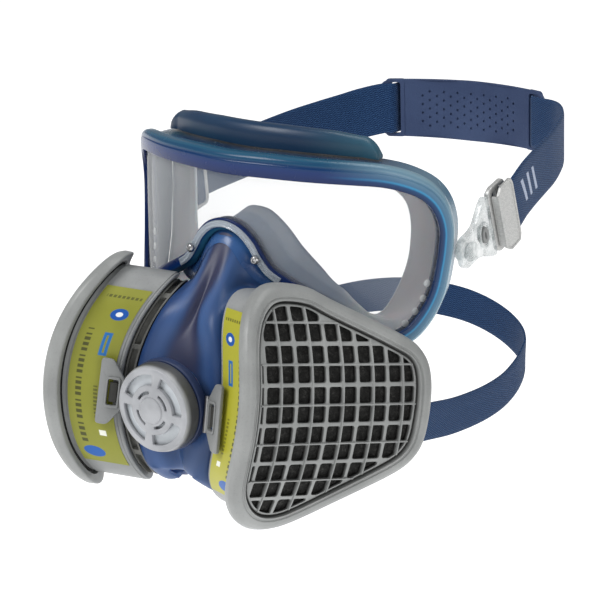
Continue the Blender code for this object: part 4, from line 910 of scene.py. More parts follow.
piece("goggle_frame_shell", v, f, M["frame"], BODY, ["goggle_frame"],
      {"band": np.tile(np.repeat(bandv, 4), n_ring), "depth": np.tile(np.repeat(depv, 4), n_ring)}, angle=50)

lens_out = arc.copy()
rows = rows_in(lens_out, 4.2, 9.0, 1.6)
v, f = plate(lens_out, [], lambda s, z, n: cyl(math.degrees(s / LENS_R), z, LENS_R + n), 0.0, -LENS_T, bev=0.3, nb=2, extra=rows)
piece("lens_shell", v, f, M["lens"], BODY, ["lens"], angle=40)

# brow bar with rounded ends
brow = []
for k in range(97):
    th = -39.0 + 78.0 * k / 96
    a = abs(th)
    e = math.sqrt(max(1.0 - (max(a - 34.0, 0.0) / 5.25) ** 2, 0.0)) * (1 - 0.12 * (a / 39.0) ** 2)
    e = max(e, 0.12)
    zt = float(np.interp(a, [0, 12, 24, 35, 43, 49.5], [70.6, 70.8, 70.3, 69.5, 68.3, 65.4]))
    z0 = zt + float(np.interp(a, [0, 24, 44], [6.25, 6.15, 5.6])) + 0.3
    b0 = cyl(th, 0, LENS_R)
    bd = back_dir(th)
    c_ = math.cos(math.radians(th)) ** 0.35
    drop = float(np.interp(a, [0, 26, 39], [0.0, 0.3, 1.6]))
    q0, q1 = 14.0 * c_, (24.5 * c_ if a < 30 else float(np.interp(a, [30, 39], [22.5, 17.5])))
    q0 = min(q0, q1 - 7.0)
    qm = (q0 + q1) / 2
    sh = 0.62 + 0.38 * min(1.0, e * 1.15)

    def pt(q, h):
        p = b0 + bd * (qm + (q - qm) * sh)
        return np.array([p[0], p[1], z0 + h])
    brow.append([pt(q0, 0.0), pt(q0 + 0.3, 6.4 * e), pt(q0 + 1.8, (9.4 - drop) * e), pt(q0 + 4.6, (10.2 - drop) * e),
                 pt(q1 - 1.4, (8.6 - drop) * e), pt(q1, 5.0 * e), pt(q1, 0.0)])
v, f = loft(fillet_rows(brow, [0.3, 2.0, 1.6, 2.5, 1.8, 1.5, 0.3], 4), closed=False)
piece("brow_strip", v, f, M["brow"], BODY, ["brow_bar"], angle=60)

# soft face skirt with a rolled lip
skirt, nose_w = [], []
for i in range(len(ring)):
    W, D = ring[i, 2], ring[i, 3]
    lip = np.array([ring[i, 4], ring[i, 5], ring[i, 6]])
    a0 = rim_pt(i, max(W - 2.6, 1.9), 0.0, D + GAP)
    a1 = rim_pt(i, 0.9, 0.0, D + GAP)
    inward = unit(a1 - a0)
    bd = back_dir(ring[i, 0])
    run = lip - 0.5 * (a0 + a1)
    k = min(max((ring[i, 1] - 48) / 12.0, 0), 1) if abs(ring[i, 0]) < 44 else 1.0
    kk = max(k, min(max((abs(ring[i, 0]) - 40) / 6.0, 0), 1))
    swell = 0.35 + 0.65 * kk
    mid = 0.5 * (a0 + a1) + run * 0.22 + bd * 6.0 * swell
    mid2 = 0.5 * (a0 + a1) + run * 0.66 + bd * 4.6 * swell
    d1, d2 = unit(mid2 - a0), unit(lip - mid)

    def off(p, d, t):
        tang = unit(np.cross(inward, bd))
        nn = unit(np.cross(tang, d))
        return p + nn * t, p - nn * t
    m0, m1 = off(mid, d1, 0.9)
    k0, k1 = off(mid2, d2, 0.8)
    l0, l1 = off(lip, d2, 0.55)
    skirt.append([a0, m0, k0, l0, l1, k1, m1, a1])
    nose_w.append(1.0 if (ring[i, 1] < 52 and abs(ring[i, 0]) < 33) else 0.0)
sk = np.array(skirt)
for i in range(len(sk)):
    if np.linalg.norm(sk[i, 1] - sk[i, 0]) + np.linalg.norm(sk[i, 6] - sk[i, 7]) > \
       np.linalg.norm(sk[i, 6] - sk[i, 0]) + np.linalg.norm(sk[i, 1] - sk[i, 7]):
        sk[i] = sk[i][[0, 6, 5, 4, 3, 2, 1, 7]]
nose_w = np.array(nose_w)
for _ in range(5):
    nose_w = (nose_w + np.roll(nose_w, 1) + np.roll(nose_w, -1)) / 3
n_f = 4
v, f = loft(fillet_rows(sk, [0.4, 4.0, 4.0, 0.6, 0.6, 4.0, 4.0, 0.4], n_f))
runv = [0.0, 0.3, 0.7, 1.0, 1.0, 0.7, 0.3, 0.0]
piece("goggle_skirt_soft", v, f, M["skirt"], BODY, ["goggle_skirt"],
      {"nose": np.repeat(nose_w, 8 * (n_f + 1)), "run": np.tile(np.repeat(runv, n_f + 1), n_ring)}, angle=60)

# small moulded pads between lens and skirt
parts = []
for s in (1, -1):
    for th, z in ((56.2, 23.0), (55.0, 16.6), (52.8, 11.2), (50.0, 6.4)):
        c0 = cyl(s * th, z, LENS_R - LENS_T - 0.25)
        ax = unit(np.array([c0[0], c0[1] - LENS_YC, 0.0]))
        e1 = unit(np.cross(ax, [0, 0, 1.0]))
        e2 = np.cross(ax, e1)
        pv, pf = lathe([(0, -0.9), (1.55, -0.9), (1.55, 0.0), (0, 0.0)], 20, lambda x, y, a: c0 + e1 * x + e2 * y + ax * a, 0.35)
        parts.append((pv, pf, None))
v, f, _a = join_parts(parts)
piece("lens_spacers", v, f, M["dot"], BODY)

# ------------------------------------------------------------------ cartridges
CART_P0 = np.array([34.0, -97.0, -15.0])
CART_R = 66.0
N_COLLAR, N_BACK, N_RIM, N_FRONT, PLATE_TOP, PLATE_BOT = -14.3, -9.0, 16.0, 23.5, 21.4, 19.4
COVER = [
    (21.5, 51.0), (30.5, 49.6), (38.0, 45.8), (54.6, 39.0), (69.8, 32.4), (76.5, 28.6), (80.8, 22.5),
         (82.0, 14.0), (81.6, 5.0), (80.9, -4.5), (80.0, -12.0), (77.2, -18.3), (72.0, -23.8),
         (62.5, -29.2), (52.5, -34.4), (42.6, -39.8), (33.2, -45.2), (24.8, -49.3), (16.0, -50.3),
         (8.0, -48.0), (0.6, -42.0), (-5.2, -32.4), (-6.6, -20.0), (-6.4, -6.0), (-6.0, 7.0),
         (-5.9, 19.0), (-4.6, 31.0), (-0.8, 41.0), (5.8, 48.0), (13.0, 50.9)
]
CELL_L, CELL_H = 7.1, 7.9
PORT_LH, PORT_R = (34.0, -2.0), 14.0
_t, _d, _i = (math.radians(a) for a in (63.8, 9.0, 6.2))
_n0 = np.array([math.sin(_t), -math.cos(_t), 0.0])
_b = np.array([math.cos(_t), math.sin(_t), 0.0])
_z = np.array([0.0, 0.0, 1.0])
_h0 = _z * math.cos(_d) + _b * math.sin(_d)
CL = _b * math.cos(_d) - _z * math.sin(_d)
CN = _n0 * math.cos(_i) + _h0 * math.sin(_i)
CH = _h0 * math.cos(_i) - _n0 * math.sin(_i)


def cart(L, H, N):
    return CART_P0 + CL * L + CH * H + CN * (N - H * H / (2 * CART_R))


cover_out = catmull_loop(COVER, 4)
for _ in range(3):
    cover_out = (cover_out * 2 + np.roll(cover_out, 1, 0) + np.roll(cover_out, -1, 0)) / 4


def house_outline(src):
    h = inset(src, 5.6)
    for p in h:
        if p[1] > 0:
            k = min(max((p[0] - 22.0) / 16.0, 0.0), 1.0)
            p[1] -= 4.2 * k * k * (3 - 2 * k) * min(p[1] / 20.0, 1.0)
    return h


house_out = house_outline(cover_out)
port_hole = np.array([(PORT_LH[0] + PORT_R * math.cos(a), PORT_LH[1] + PORT_R * math.sin(a))
                      for a in np.linspace(0, 2 * math.pi, 40, endpoint=False)])


def tray(outer, inner, holes, rows_o, rows_i, bev=0.3, nb=2):
    """Bent tray: rings of (outline, n) from the open end to the floor, outside and inside."""
    V, F = [], []

    def add(poly, n):
        b = len(V)
        V.extend(cart(p[0], p[1], n) for p in poly)
        return b, len(poly)

    def bridge(a, b):
        for i in range(a[1]):
            j = (i + 1) % a[1]
            F.append((a[0] + i, a[0] + j, b[0] + j, b[0] + i))
    ro = [add(*x) for x in outer[:-1]]
    ri = [add(*x) for x in inner[:-1]]
    bridge(ri[0], ro[0])
    for a, b in zip(ro, ro[1:]):
        bridge(a, b)
    for a, b in zip(ri, ri[1:]):
        bridge(a, b)
    s = 1.0 if outer[-1][1] > inner[-1][1] else -1.0
    h_out = [inset(h, -bev) for h in holes]
    pts, tris = cdt(outer[-1][0], h_out, rows_o)
    b = len(V)
    V.extend(cart(p[0], p[1], outer[-1][1]) for p in pts)
    F.extend(tuple(b + i for i in t) for t in tris)
    bridge(ro[-1], (b, len(outer[-1][0])))
    pts2, tris2 = cdt(inner[-1][0], holes, rows_i)
    b2 = len(V)
    V.extend(cart(p[0], p[1], inner[-1][1]) for p in pts2)
    F.extend(tuple(b2 + i for i in t) for t in tris2)
    bridge(ri[-1], (b2, len(inner[-1][0])))
    o1, o2 = b + len(outer[-1][0]), b2 + len(inner[-1][0])
    for h in holes:
        m = len(h)
        prev = (o1, m)
        for j in range(1, nb + 1):
            a = (math.pi / 2) * j / nb
            cur = add(inset(h, -bev * (1 - math.sin(a))), outer[-1][1] - s * bev * (1 - math.cos(a)))
            bridge(prev, cur)
            prev = cur
        bridge(prev, (o2, m))
        o1 += m
        o2 += m
    return np.array(V), F


def profile_rings(base, prof, r=0.5, n=3):
    """Rings from a profile of (inset, height) with rounded corners, ends kept."""
    P = np.asarray(prof, float)
    out = [P[0]]
    for j in range(1, len(P) - 1):
        a, p, b = P[j - 1], P[j], P[j + 1]
        la, lb = np.linalg.norm(a - p), np.linalg.norm(b - p)
        d = min(r, 0.45 * la, 0.45 * lb)
        p0, p2 = p + (a - p) / la * d, p + (b - p) / lb * d
        for k in range(n + 1):
            t = k / n
            out.append((1 - t) ** 2 * p0 + 2 * t * (1 - t) * p + t * t * p2)
    out.append(P[-1])
    return [(inset(base, q[0]), q[1]) for q in out]


# housing
house_in = inset(house_out, 2.0)
outer = profile_rings(house_out, [(0.35, N_RIM), (0.35, N_RIM - 1.6), (0.0, N_RIM - 2.0), (0.0, N_BACK + 1.9), (0.45, N_BACK + 1.6), (0.45, N_BACK + 1.1), (0.1, N_BACK + 0.9), (0.7, N_BACK), (1.6, N_BACK)], 0.35, 2)
inner = profile_rings(house_out, [(2.0, N_RIM), (2.0, N_BACK + 3.4), (2.8, N_BACK + 2.6), (3.4, N_BACK + 2.6)], 0.5, 2)
v, f = tray(outer, inner, [port_hole], rows_in(outer[-1][0], 9.0, 4.0, 2.2, [port_hole]), rows_in(inner[-1][0], 9.0, 4.0, 2.2, [port_hole]))
pair("cartridge_shell", v, f, M["housing"], "cartridge_{}_body", "cartridge_housing", angle=42)

# filter medium
media_out = inset(house_in, 0.6)
slab = inset(cover_out, 5.15)
v, f = plate(slab, [], cart, PLATE_BOT - 0.55, N_RIM + 0.45, bev=0.5, extra=rows_in(slab, 6.0, 4.0, 1.5))
pv, pf = plate(media_out, [], cart, N_RIM + 0.6, N_BACK + 3.3, bev=0.1, nb=1, extra=rows_in(media_out, 9.0, 6.0, 2.0))
v, f, _a = join_parts([(v, f, None), (pv, pf, None)])
pair("medium", v, f, M["media"], "cartridge_{}_body", "filter_media")

# cover: rolled border, groove, grille of rounded windows and thin upright blades
grille_out = inset(cover_out, 7.9)
lim = inset(cover_out, 8.5)
cells = []
i0, J0 = 0.4, 5.0
for ci in range(-1, 13):
    for cj in range(-8, 7):
        x0, y0 = i0 + (ci - 0.5) * CELL_L, cj * CELL_H + J0
        # wide flat bars inside each group of four windows, thin ones under the blades
        xa = 0.34 if ci % 2 == 0 else 0.72
        xb = 0.72 if ci % 2 == 0 else 0.34
        ya = 0.36 if cj % 2 == 0 else 0.76
        yb = 0.76 if cj % 2 == 0 else 0.36
        poly = clip_poly(lim, (x0 + xa, y0 + ya, x0 + CELL_L - xb, y0 + CELL_H - yb))
        if len(poly) >= 3 and area2(poly) > 4.0:
            poly = np.array(poly)
            # thin out the points that the curved outline brings in
            keep = []
            for q in range(len(poly)):
                a, p, b = poly[q - 1], poly[q], poly[(q + 1) % len(poly)]
                cr = abs((p - a)[0] * (b - p)[1] - (p - a)[1] * (b - p)[0]) / max(np.linalg.norm(b - a), 1e-6)
                if cr > 0.03:
                    keep.append(p)
            if len(keep) >= 3 and area2(keep) > 4.0:
                cells.append(fillet2(keep, 1.15, 4))
outer = profile_rings(cover_out, [(3.0, N_RIM + GAP), (2.4, N_RIM + GAP), (0.9, N_RIM + 0.5), (0.25, N_RIM + 1.2), (0.0, N_FRONT - 2.8), (0.9, N_FRONT - 0.8),
                                  (2.6, N_FRONT), (4.6, N_FRONT - 0.15), (5.1, N_FRONT - 1.0), (5.7, N_FRONT - 1.0), (6.0, N_FRONT - 0.4), (6.4, N_FRONT - 0.6),
                                  (6.7, PLATE_TOP - 1.3), (7.5, PLATE_TOP - 1.3), (7.7, PLATE_TOP - 0.15), (7.9, PLATE_TOP)], 0.6, 3)
inner = profile_rings(cover_out, [(4.2, N_RIM + GAP), (4.2, PLATE_BOT - 0.8), (4.9, PLATE_BOT), (5.2, PLATE_BOT)], 0.4, 2)
nodes_x = [(i0 + (ci - 0.5) * CELL_L, cj * CELL_H + J0) for ci in range(-1, 14) for cj in range(-8, 8)]
rows_c = [p for p in nodes_x if inside(p, inset(cover_out, 8.4)) and not any(inside(p, inset(h, -0.6)) for h in cells)]
v, f = tray(outer, inner, cells, rows_c, rows_c, bev=0.28, nb=2)
parts = [(v, f, None)]
G_IN = inset(cover_out, 8.0)


def crossings(axis, val):
    out = []
    for q in range(len(G_IN)):
        a, b = G_IN[q], G_IN[(q + 1) % len(G_IN)]
        if (a[axis] - val) * (b[axis] - val) < 0:
            t = (val - a[axis]) / (b[axis] - a[axis])
            out.append(a[1 - axis] + (b[1 - axis] - a[1 - axis]) * t)
    return (min(out), max(out)) if len(out) >= 2 else None


BL_T, BL_B, BL_W = PLATE_TOP + 0.8, PLATE_TOP - 0.5, 0.3
for axis, vals in ((0, [i0 + (ci - 0.5) * CELL_L for ci in range(0, 13, 2)]), (1, [cj * CELL_H + J0 for cj in range(-8, 7, 2)])):
    for val in vals:
        cr = crossings(axis, val)
        if not cr or cr[1] - cr[0] < 6:
            continue
        ss = np.linspace(cr[0], cr[1], 25)
        sec = []
        for s in ss:
            def q(w, n):
                return cart(val + w, s, n) if axis == 0 else cart(s, val + w, n)
            sec.append([q(-BL_W - 0.12, BL_B), q(-BL_W, BL_T - 0.15), q(-BL_W + 0.13, BL_T), q(BL_W - 0.13, BL_T), q(BL_W, BL_T - 0.15), q(BL_W + 0.12, BL_B)])
        pv, pf = loft(sec, closed=False)
        parts.append((pv, pf, None))
v, f, _a = join_parts(parts)
rel = v - CART_P0
lev_n = rel @ CN + (rel @ CH) ** 2 / (2 * CART_R)
in_edge = np.array([1.0 if inside((a, b), inset(cover_out, 6.6)) else 0.0 for a, b in zip(rel @ CL, rel @ CH)])
# painted shade weight: rises from 0 near the grille top to 1 about 1.2 mm below it, only inside the border
low = np.clip((PLATE_TOP - 0.12 - lev_n) / 1.1, 0, 1) * in_edge
pair("cartridge_grille", v, f, M["cover"], "cartridge_{}_body", "cartridge_cover", {"low": low}, angle=40)

# label film wrapped on the front side of the housing
ci0 = np.array([34.0, 0.0])
strip = np.array(sorted([tuple(p) for p in house_out if p[0] < 12 and abs(p[1]) < 40.5], key=lambda p: p[1]))
hh = np.linspace(-36.5, 38.0, 61)
ll = np.interp(hh, strip[:, 1], strip[:, 0])
for _ in range(2):
    ll[1:-1] = (ll[:-2] + 2 * ll[1:-1] + ll[2:]) / 4
dl = np.gradient(ll, hh)
nv = 12
secs, su, sv = [], [], []
for L, H, g in zip(ll, hh, dl):
    ox, oy = -1 / math.hypot(1, g), g / math.hypot(1, g)
    row = []
    for k in range(nv + 1):
        n = -6.0 + 19.4 * k / nv
        row.append(cart(L + ox * 0.42, H + oy * 0.42, n))
        su.append(H)
        sv.append((13.4 - n) * 13.0 / 19.4)
    for k in range(nv, -1, -1):
        n = -6.0 + 19.4 * k / nv
        row.append(cart(L + ox * 0.12, H + oy * 0.12, n))
        su.append(H)
        sv.append((13.4 - n) * 13.0 / 19.4)
    secs.append(row)
v, f = loft(secs, closed=False)
pair("label_film", v, f, {"left": M["label_left"], "right": M["label_right"]}, "cartridge_{}_body", "cartridge_label", {"su": su, "sv": sv})


# port ring: two rails with posts and a recessed wall between them
def resample(poly, step):
    out = []
    P = np.asarray(poly, float)
    for i in range(len(P)):
        a, b = P[i], P[(i + 1) % len(P)]
        n = max(1, int(round(np.linalg.norm(b - a) / step)))
        for k in range(n):
            out.append(a + (b - a) * k / n)
    return np.array(out)


coarse = np.array(COVER)
ring_hole = catmull_loop(resample(inset(coarse, 15.5), 12.0), 2)
base = inset(cover_out, 8.6)
wall = inset(cover_out, 11.2)
parts = []
for n0, n1 in ((N_BACK - 1.35, N_BACK - 0.45), (N_COLLAR + 0.45, N_COLLAR + 1.35)):
    pv, pf = plate(base, [ring_hole], cart, n1, n0, bev=0.2, nb=2)
    parts.append((pv, pf, None))
pv, pf = plate(wall, [inset(ring_hole, -0.4)], cart, N_BACK - 1.2, N_COLLAR + 1.2, bev=0.1, nb=1)
parts.append((pv, pf, None))
n_b = len(base)
lens_b = np.concatenate([[0], np.cumsum(np.linalg.norm(np.diff(np.vstack([base, base[:1]]), axis=0), axis=1))])
tot = lens_b[-1]
inner_b = inset(cover_out, 11.6)
for k in range(11):
    s = tot * (k + 0.35) / 11
    i = int(np.searchsorted(lens_b, s) - 1) % n_b
    j = (i + 1) % n_b
    t = unit(base[j] - base[i]) * 1.1
    po, pi_ = base[i] + (base[j] - base[i]) * 0.5, inner_b[i] + (inner_b[j] - inner_b[i]) * 0.5
    nin = unit(pi_ - po)
    quad = np.array([po + nin * 0.12 - t, po + nin * 0.12 + t, pi_ + t, pi_ - t])
    pv, pf = plate(quad, [], cart, N_BACK - 1.1, N_COLLAR + 1.1, bev=0.15, nb=1)
    parts.append((pv, pf, None))
v, f, _a = join_parts(parts)
pair("port_frame", v, f, M["port"], BODY, "port_ring", angle=42)

# latch with a small dark catch
LATCH_L, LATCH_N, LATCH_H = -3.6, -13.0, -5.0


def flat_cart(L, H, N):
    return CART_P0 + CL * L + CH * H + CN * (N - LATCH_H ** 2 / (2 * CART_R))


lo = [(LATCH_N + 1.5, LATCH_H - 6), (-5.6, LATCH_H - 14), (-0.6, LATCH_H - 14), (-0.6, LATCH_H + 14), (-5.6, LATCH_H + 14), (LATCH_N + 1.5, LATCH_H + 6)]
lw_ = [(-9.0, LATCH_H - 5.5), (-4.4, LATCH_H - 5.5), (-4.4, LATCH_H + 5.5), (-9.0, LATCH_H + 5.5)]
v, f = plate(fillet2(lo, 1.6, 4), [fillet2(lw_, 0.9, 3)], lambda n, h, a: flat_cart(LATCH_L - a, h, n), 0.9, -0.7, bev=0.4, nb=3)
parts = [(v, f, None)]
# raised bead round the window
bead = [(-9.9, LATCH_H - 6.6), (-3.6, LATCH_H - 6.6), (-3.6, LATCH_H + 6.6), (-9.9, LATCH_H + 6.6)]
pv, pf = plate(fillet2(bead, 1.4, 4), [fillet2(lw_, 0.9, 3)], lambda n, h, a: flat_cart(LATCH_L - a, h, n), 1.5, 0.6, bev=0.3, nb=2)
parts.append((pv, pf, None))
v, f, _a = join_parts(parts)
pair("latch_plate", v, f, M["latch"], "latch_{}_body", "latch")
tongue = [(-8.6, LATCH_H - 4.2), (-5.2, LATCH_H - 4.2), (-5.2, LATCH_H + 4.2), (-8.6, LATCH_H + 4.2)]
v, f = plate(fillet2(tongue, 0.5, 2), [], lambda n, h, a: flat_cart(LATCH_L - a, h, n), 0.5, -0.9, bev=0.3, nb=2)
pair("latch_catch", v, f, M["slot_dark"], "latch_{}_body", None)

# ------------------------------------------------------------------ half mask
top_h = {2: 33.0, 18: 41.0, 36: 36.5, 54: 29.5, 70: 21.5}
bot_h = {2: -33.0, 18: -41.5, 36: -34.5, 54: -25.5, 70: -17.5}
Ls = [2, 18, 36, 54, 70]
# rear edge of the shell, right half, from nose centre to chin centre
REAR = [(0, -54.2, 43.0), (4.6, -54.0, 41.2), (8.6, -53.7, 36.8), (12.2, -53.0, 31.2), (17.5, -52.0, 24.6),
        tuple(cart(37, 42.5, -13.2)), tuple(cart(53, 36.0, -12.8)), tuple(cart(66, 29.5, -12.6)), tuple(cart(75, 16.0, -15.2)),
        tuple(cart(75.5, -6.0, -16.0)), (47.6, -24.0, -44.0), (39.0, -28.5, -52.0), (27.0, -36.0, -59.0), (13.0, -43.5, -63.0), (0, -46.5, -64.0)]
rows = []
VAL = {"T2": (0, -56.5, 38.5), "Tw": (0, -62.0, 29.5), 1.0: (0, -71.5, 16.5), 0.75: (0, -82.5, 1.0), 0.5: (0, -87.0, -14.0),
       0.25: (0, -88.0, -31.0), 0.0: (0, -87.0, -46.0), "Bw": (0, -80.0, -56.0), "B2": (0, -66.0, -61.5)}


def row_cart(t, dn=0.0, dh=0.0, front=True):
    r = []
    for L in Ls:
        H = bot_h[L] + (top_h[L] - bot_h[L]) * t + dh
        r.append(cart(L, H, N_COLLAR + dn))
    return r


def inner_edge(t, dn=-11.2, dh=0.0):
    H = bot_h[2] + (top_h[2] - bot_h[2]) * t + dh
    p = cart(-1.2, H, N_COLLAR + dn)
    p[0] = max(p[0], 3.2)
    return p


R = [np.array(p, float) for p in REAR]
grid = []
# top boundary row, then a row of the wall, collar rows, wall, underside, bottom boundary row
topw = row_cart(1.0, -6.5, 2.0)
ie = inner_edge(1.0, -12.5, 5.0)
grid.append([R[0], R[1], R[2] * 0.6 + R[3] * 0.4, R[4], R[5], R[6], R[7], cart(73.5, 23.0, -13.8)])
top = row_cart(1.0)
grid.append([np.array(VAL["Tw"], float), np.array([4.6, -64.0, 28.0]), topw[0] * 0.5 + R[3] * 0.5, topw[1] * 0.6 + R[4] * 0.4,
             top[2] * 0.5 + R[5] * 0.5, top[3] * 0.5 + R[6] * 0.5, top[4] * 0.5 + R[7] * 0.5, cart(74.4, 20.0, -14.6)])
for t in (1.0, 0.75, 0.5, 0.25, 0.0):
    rc = row_cart(t)
    e = {1.0: cart(75.0, 16.5, -15.2), 0.75: cart(75.4, 8.5, -15.7), 0.5: cart(75.5, 1.0, -16.0), 0.25: cart(75.5, -7.0, -16.0),
         0.0: R[10] * 0.35 + cart(75.0, -15.0, -16.5) * 0.65}[t]
    grid.append([np.array(VAL[t], float), inner_edge(t)] + rc + [e])
botw = row_cart(0.0, -6.5, -2.5)
grid.append([np.array(VAL["Bw"], float), np.array([6.5, -79.5, -56.0]), botw[0], botw[1] * 0.9 + R[12] * 0.1,
             botw[2] * 0.85 + R[12] * 0.15, botw[3] * 0.8 + R[11] * 0.2, botw[4] * 0.6 + R[11] * 0.4, R[10] * 0.5 + R[11] * 0.5])
grid.append([np.array(VAL["B2"], float), np.array([7.0, -65.5, -61.8]), np.array([13.0, -61.0, -61.5]), np.array([21.0, -53.0, -59.8]),
             np.array([28.0, -46.0, -57.0]), np.array([34.5, -38.0, -54.0]), np.array([38.0, -31.5, -52.4]), R[11]])
grid.append([R[14], R[13] * 0.6 + R[14] * 0.4, R[13], R[13] * 0.5 + R[12] * 0.5, R[12], R[12] * 0.6 + R[11] * 0.4,
             R[12] * 0.3 + R[11] * 0.7, R[12] * 0.12 + R[11] * 0.88])
G = np.array(grid)
full = np.concatenate([mirror(G[:, 1:])[:, ::-1], G], axis=1)
NI = 6
d1 = np.stack([catmull(full[:, j], NI) for j in range(full.shape[1])], 1)
full = np.stack([catmull(d1[i], NI) for i in range(d1.shape[0])], 0)
nr, nc = full.shape[:2]
# relax a little, edges held
for _ in range(3):
    s = full.copy()
    s[1:-1, 1:-1] = (full[1:-1, 1:-1] * 4 + full[2:, 1:-1] + full[:-2, 1:-1] + full[1:-1, 2:] + full[1:-1, :-2]) / 8
    full = s


def to_cart(p):
    q = np.array([abs(p[0]), p[1], p[2]]) - CART_P0
    L, H, N = q @ CL, q @ CH, q @ CN
    return L, H, N + H * H / (2 * CART_R)


for i in range(nr):
    for j in range(nc):
        L, H, N = to_cart(full[i, j])
        if -3.0 < L < 79.0 and abs(H) < 47.0 and N > N_COLLAR + 0.05:
            s = 1.0 if full[i, j, 0] >= 0 else -1.0
            full[i, j] -= CN * np.array([s, 1, 1]) * (N - N_COLLAR - 0.05)
du = np.gradient(full, axis=1)
dv = np.gradient(full, axis=0)
nm = unit(np.cross(du, dv))
ctr = np.array([0.0, -40.0, -15.0])
sgn = np.sign(np.sum(nm * (full - ctr), axis=-1, keepdims=True))
sgn[sgn == 0] = 1
nm = nm * sgn
inner_g = full - nm * 2.2
verts = np.concatenate([full.reshape(-1, 3), inner_g.reshape(-1, 3)])
faces = []
K = nr * nc
for i in range(nr - 1):
    for j in range(nc - 1):
        a = i * nc + j
        faces.append((a, a + 1, a + nc + 1, a + nc))
        faces.append((a + K, a + nc + K, a + nc + 1 + K, a + 1 + K))
edge = [(0, j) for j in range(nc)] + [(i, nc - 1) for i in range(1, nr)] + [(nr - 1, j) for j in range(nc - 2, -1, -1)] + [(i, 0) for i in range(nr - 2, 0, -1)]
for k in range(len(edge)):
    a = edge[k][0] * nc + edge[k][1]
    b = edge[(k + 1) % len(edge)][0] * nc + edge[(k + 1) % len(edge)][1]
    faces.append((a, b, b + K, a + K))
# darker nose panel between the two front ridges; a painted highlight along the rolled ridges beside it and painted
# light over the lower rows
jj = np.abs(np.arange(nc) - (nc - 1) / 2) / NI
ii = np.arange(nr) / NI
nose_a = np.clip(1.25 - jj[None, :], 0, 1) * 0 + (1 / (1 + np.exp((jj[None, :] - 0.95) * 9))) * (1 / (1 + np.exp((ii[:, None] - 4.2) * 3)))
painted_ridge_light = np.exp(-((jj[None, :] - 1.35) / 0.35) ** 2) * (1 / (1 + np.exp((ii[:, None] - 6.5) * 2))) * 0.55 + \
    0.5 * (1 / (1 + np.exp(-(ii[:, None] - 6.6) * 3))) * np.ones_like(jj)[None, :]
mask_attr = {"nose": np.concatenate([nose_a.reshape(-1)] * 2), "painted_light": np.concatenate([painted_ridge_light.reshape(-1)] * 2)}


def punch(ob):
    """Round openings for the valve and both air ports."""
    tools = []
    places = [(lambda x, y, a: np.array([x, -90.0 + a, -20.6 + y]), 13.0, -12.0, 10.0)]
    for s in (1, -1):
        places.append((lambda x, y, a, s=s: (cart(PORT_LH[0], PORT_LH[1], N_COLLAR) + CL * x + CH * y + CN * a) * np.array([s, 1, 1]), 14.0, -6.0, 5.0))
    for place, r, a0, a1 in places:
        cv, cf = lathe([(0, a0), (r, a0), (r, a1), (0, a1)], 48, place)
        me = bpy.data.meshes.new("cut")
        me.from_pydata([tuple(p) for p in (cv - ORIGIN) * 0.001], [], cf)
        bm = bmesh.new()
        bm.from_mesh(me)
        bmesh.ops.recalc_face_normals(bm, faces=bm.faces)
        if bm.calc_volume(signed=True) < 0:
            bmesh.ops.reverse_faces(bm, faces=bm.faces)
        bm.to_mesh(me)
        bm.free()
        c = bpy.data.objects.new("cut", me)
        bpy.context.scene.collection.objects.link(c)
        md = ob.modifiers.new("cut", 'BOOLEAN')
        md.operation, md.solver, md.object = 'DIFFERENCE', 'EXACT', c
        tools.append(c)
    bpy.context.view_layer.update()
    dg = bpy.context.evaluated_depsgraph_get()
    me = bpy.data.meshes.new_from_object(ob.evaluated_get(dg))
    ob.modifiers.clear()
    ob.data = me
    for c in tools:
        bpy.data.objects.remove(c, do_unlink=True)


piece("half_mask_shell", verts, faces, M["mask"], BODY, ["half_mask_body"], mask_attr, 60, punch)

# gasket between the nose arch of the goggle and the top of the half mask
row = full[2][np.argsort(full[2][:, 0])]
sel = sorted([i for i in range(n_ring) if abs(ring[i, 0]) <= 20.5 and ring[i, 1] < 50], key=lambda i: ring[i, 0])
secs = []
for i in sel:
    W = ring[i, 2]
    A = rim_pt(i, W - 0.9, -0.4, 1.4)
    B = np.array([np.interp(A[0] * 0.97, row[:, 0], row[:, k]) for k in range(3)])
    Cc = (A + B) / 2 + np.array([0, -0.9, 0])
    up_ = np.array([0, 0.55, 0.35])
    secs.append([A - up_, Cc - up_, B - up_, B + up_, Cc + up_, A + up_])
v, f = loft(fillet_rows(secs, [0.2, 1.5, 0.2, 0.2, 1.5, 0.2], 3), closed=False)
piece("nose_gasket", v, f, M["gasket"], BODY, angle=60)

# inner seal
FACE = [(0, -37, 46.0), (6.3, -36, 43.4), (11.3, -34, 37.3), (16.0, -31, 30.3), (21.5, -27, 21.5), (28.5, -23, 13),
        (35, -19, 4), (40.5, -15, -7), (44.5, -11, -19), (45.5, -9, -32), (42.5, -10, -46), (34, -15, -58), (21, -21, -66.5), (9, -25.5, -70),
        (0, -27.5, -71)]
F_ = np.array(FACE, float)
RR = np.array(REAR, float)
fl = np.vstack([F_, mirror(F_[1:-1])[::-1]])
rl = np.vstack([RR, mirror(RR[1:-1])[::-1]])
cen3 = np.array([0, -30.0, -14.0])
secs = []
n = len(fl)
for i in range(n):
    tang = unit(rl[(i + 1) % n] - rl[i - 1])
    run = fl[i] - rl[i]
    d = unit(run)
    nn = unit(np.cross(tang, d))
    out = rl[i] - cen3
    out[1] = 0
    if nn @ out < 0:
        nn = -nn
    inn = -unit(np.array([out[0], 0.0, out[2]]))
    s0 = rl[i] + d * 3.4 - nn * 1.5
    s1 = rl[i] + run * 0.55 - nn * 1.9
    s2 = fl[i]
    s3 = fl[i] + inn * 8.0 + np.array([0, -3.5, 0])
    e = 0.8
    secs.append([s0 + nn * e, s1 + nn * e, s2 + nn * e * 0.6 + d * 0.7, s3 + np.array([0, 0.6, 0]),
                 s3 - np.array([0, 0.6, 0]), s2 - d * 1.2 - nn * e, s1 - nn * e, s0 - nn * e])
secs = np.array(secs)
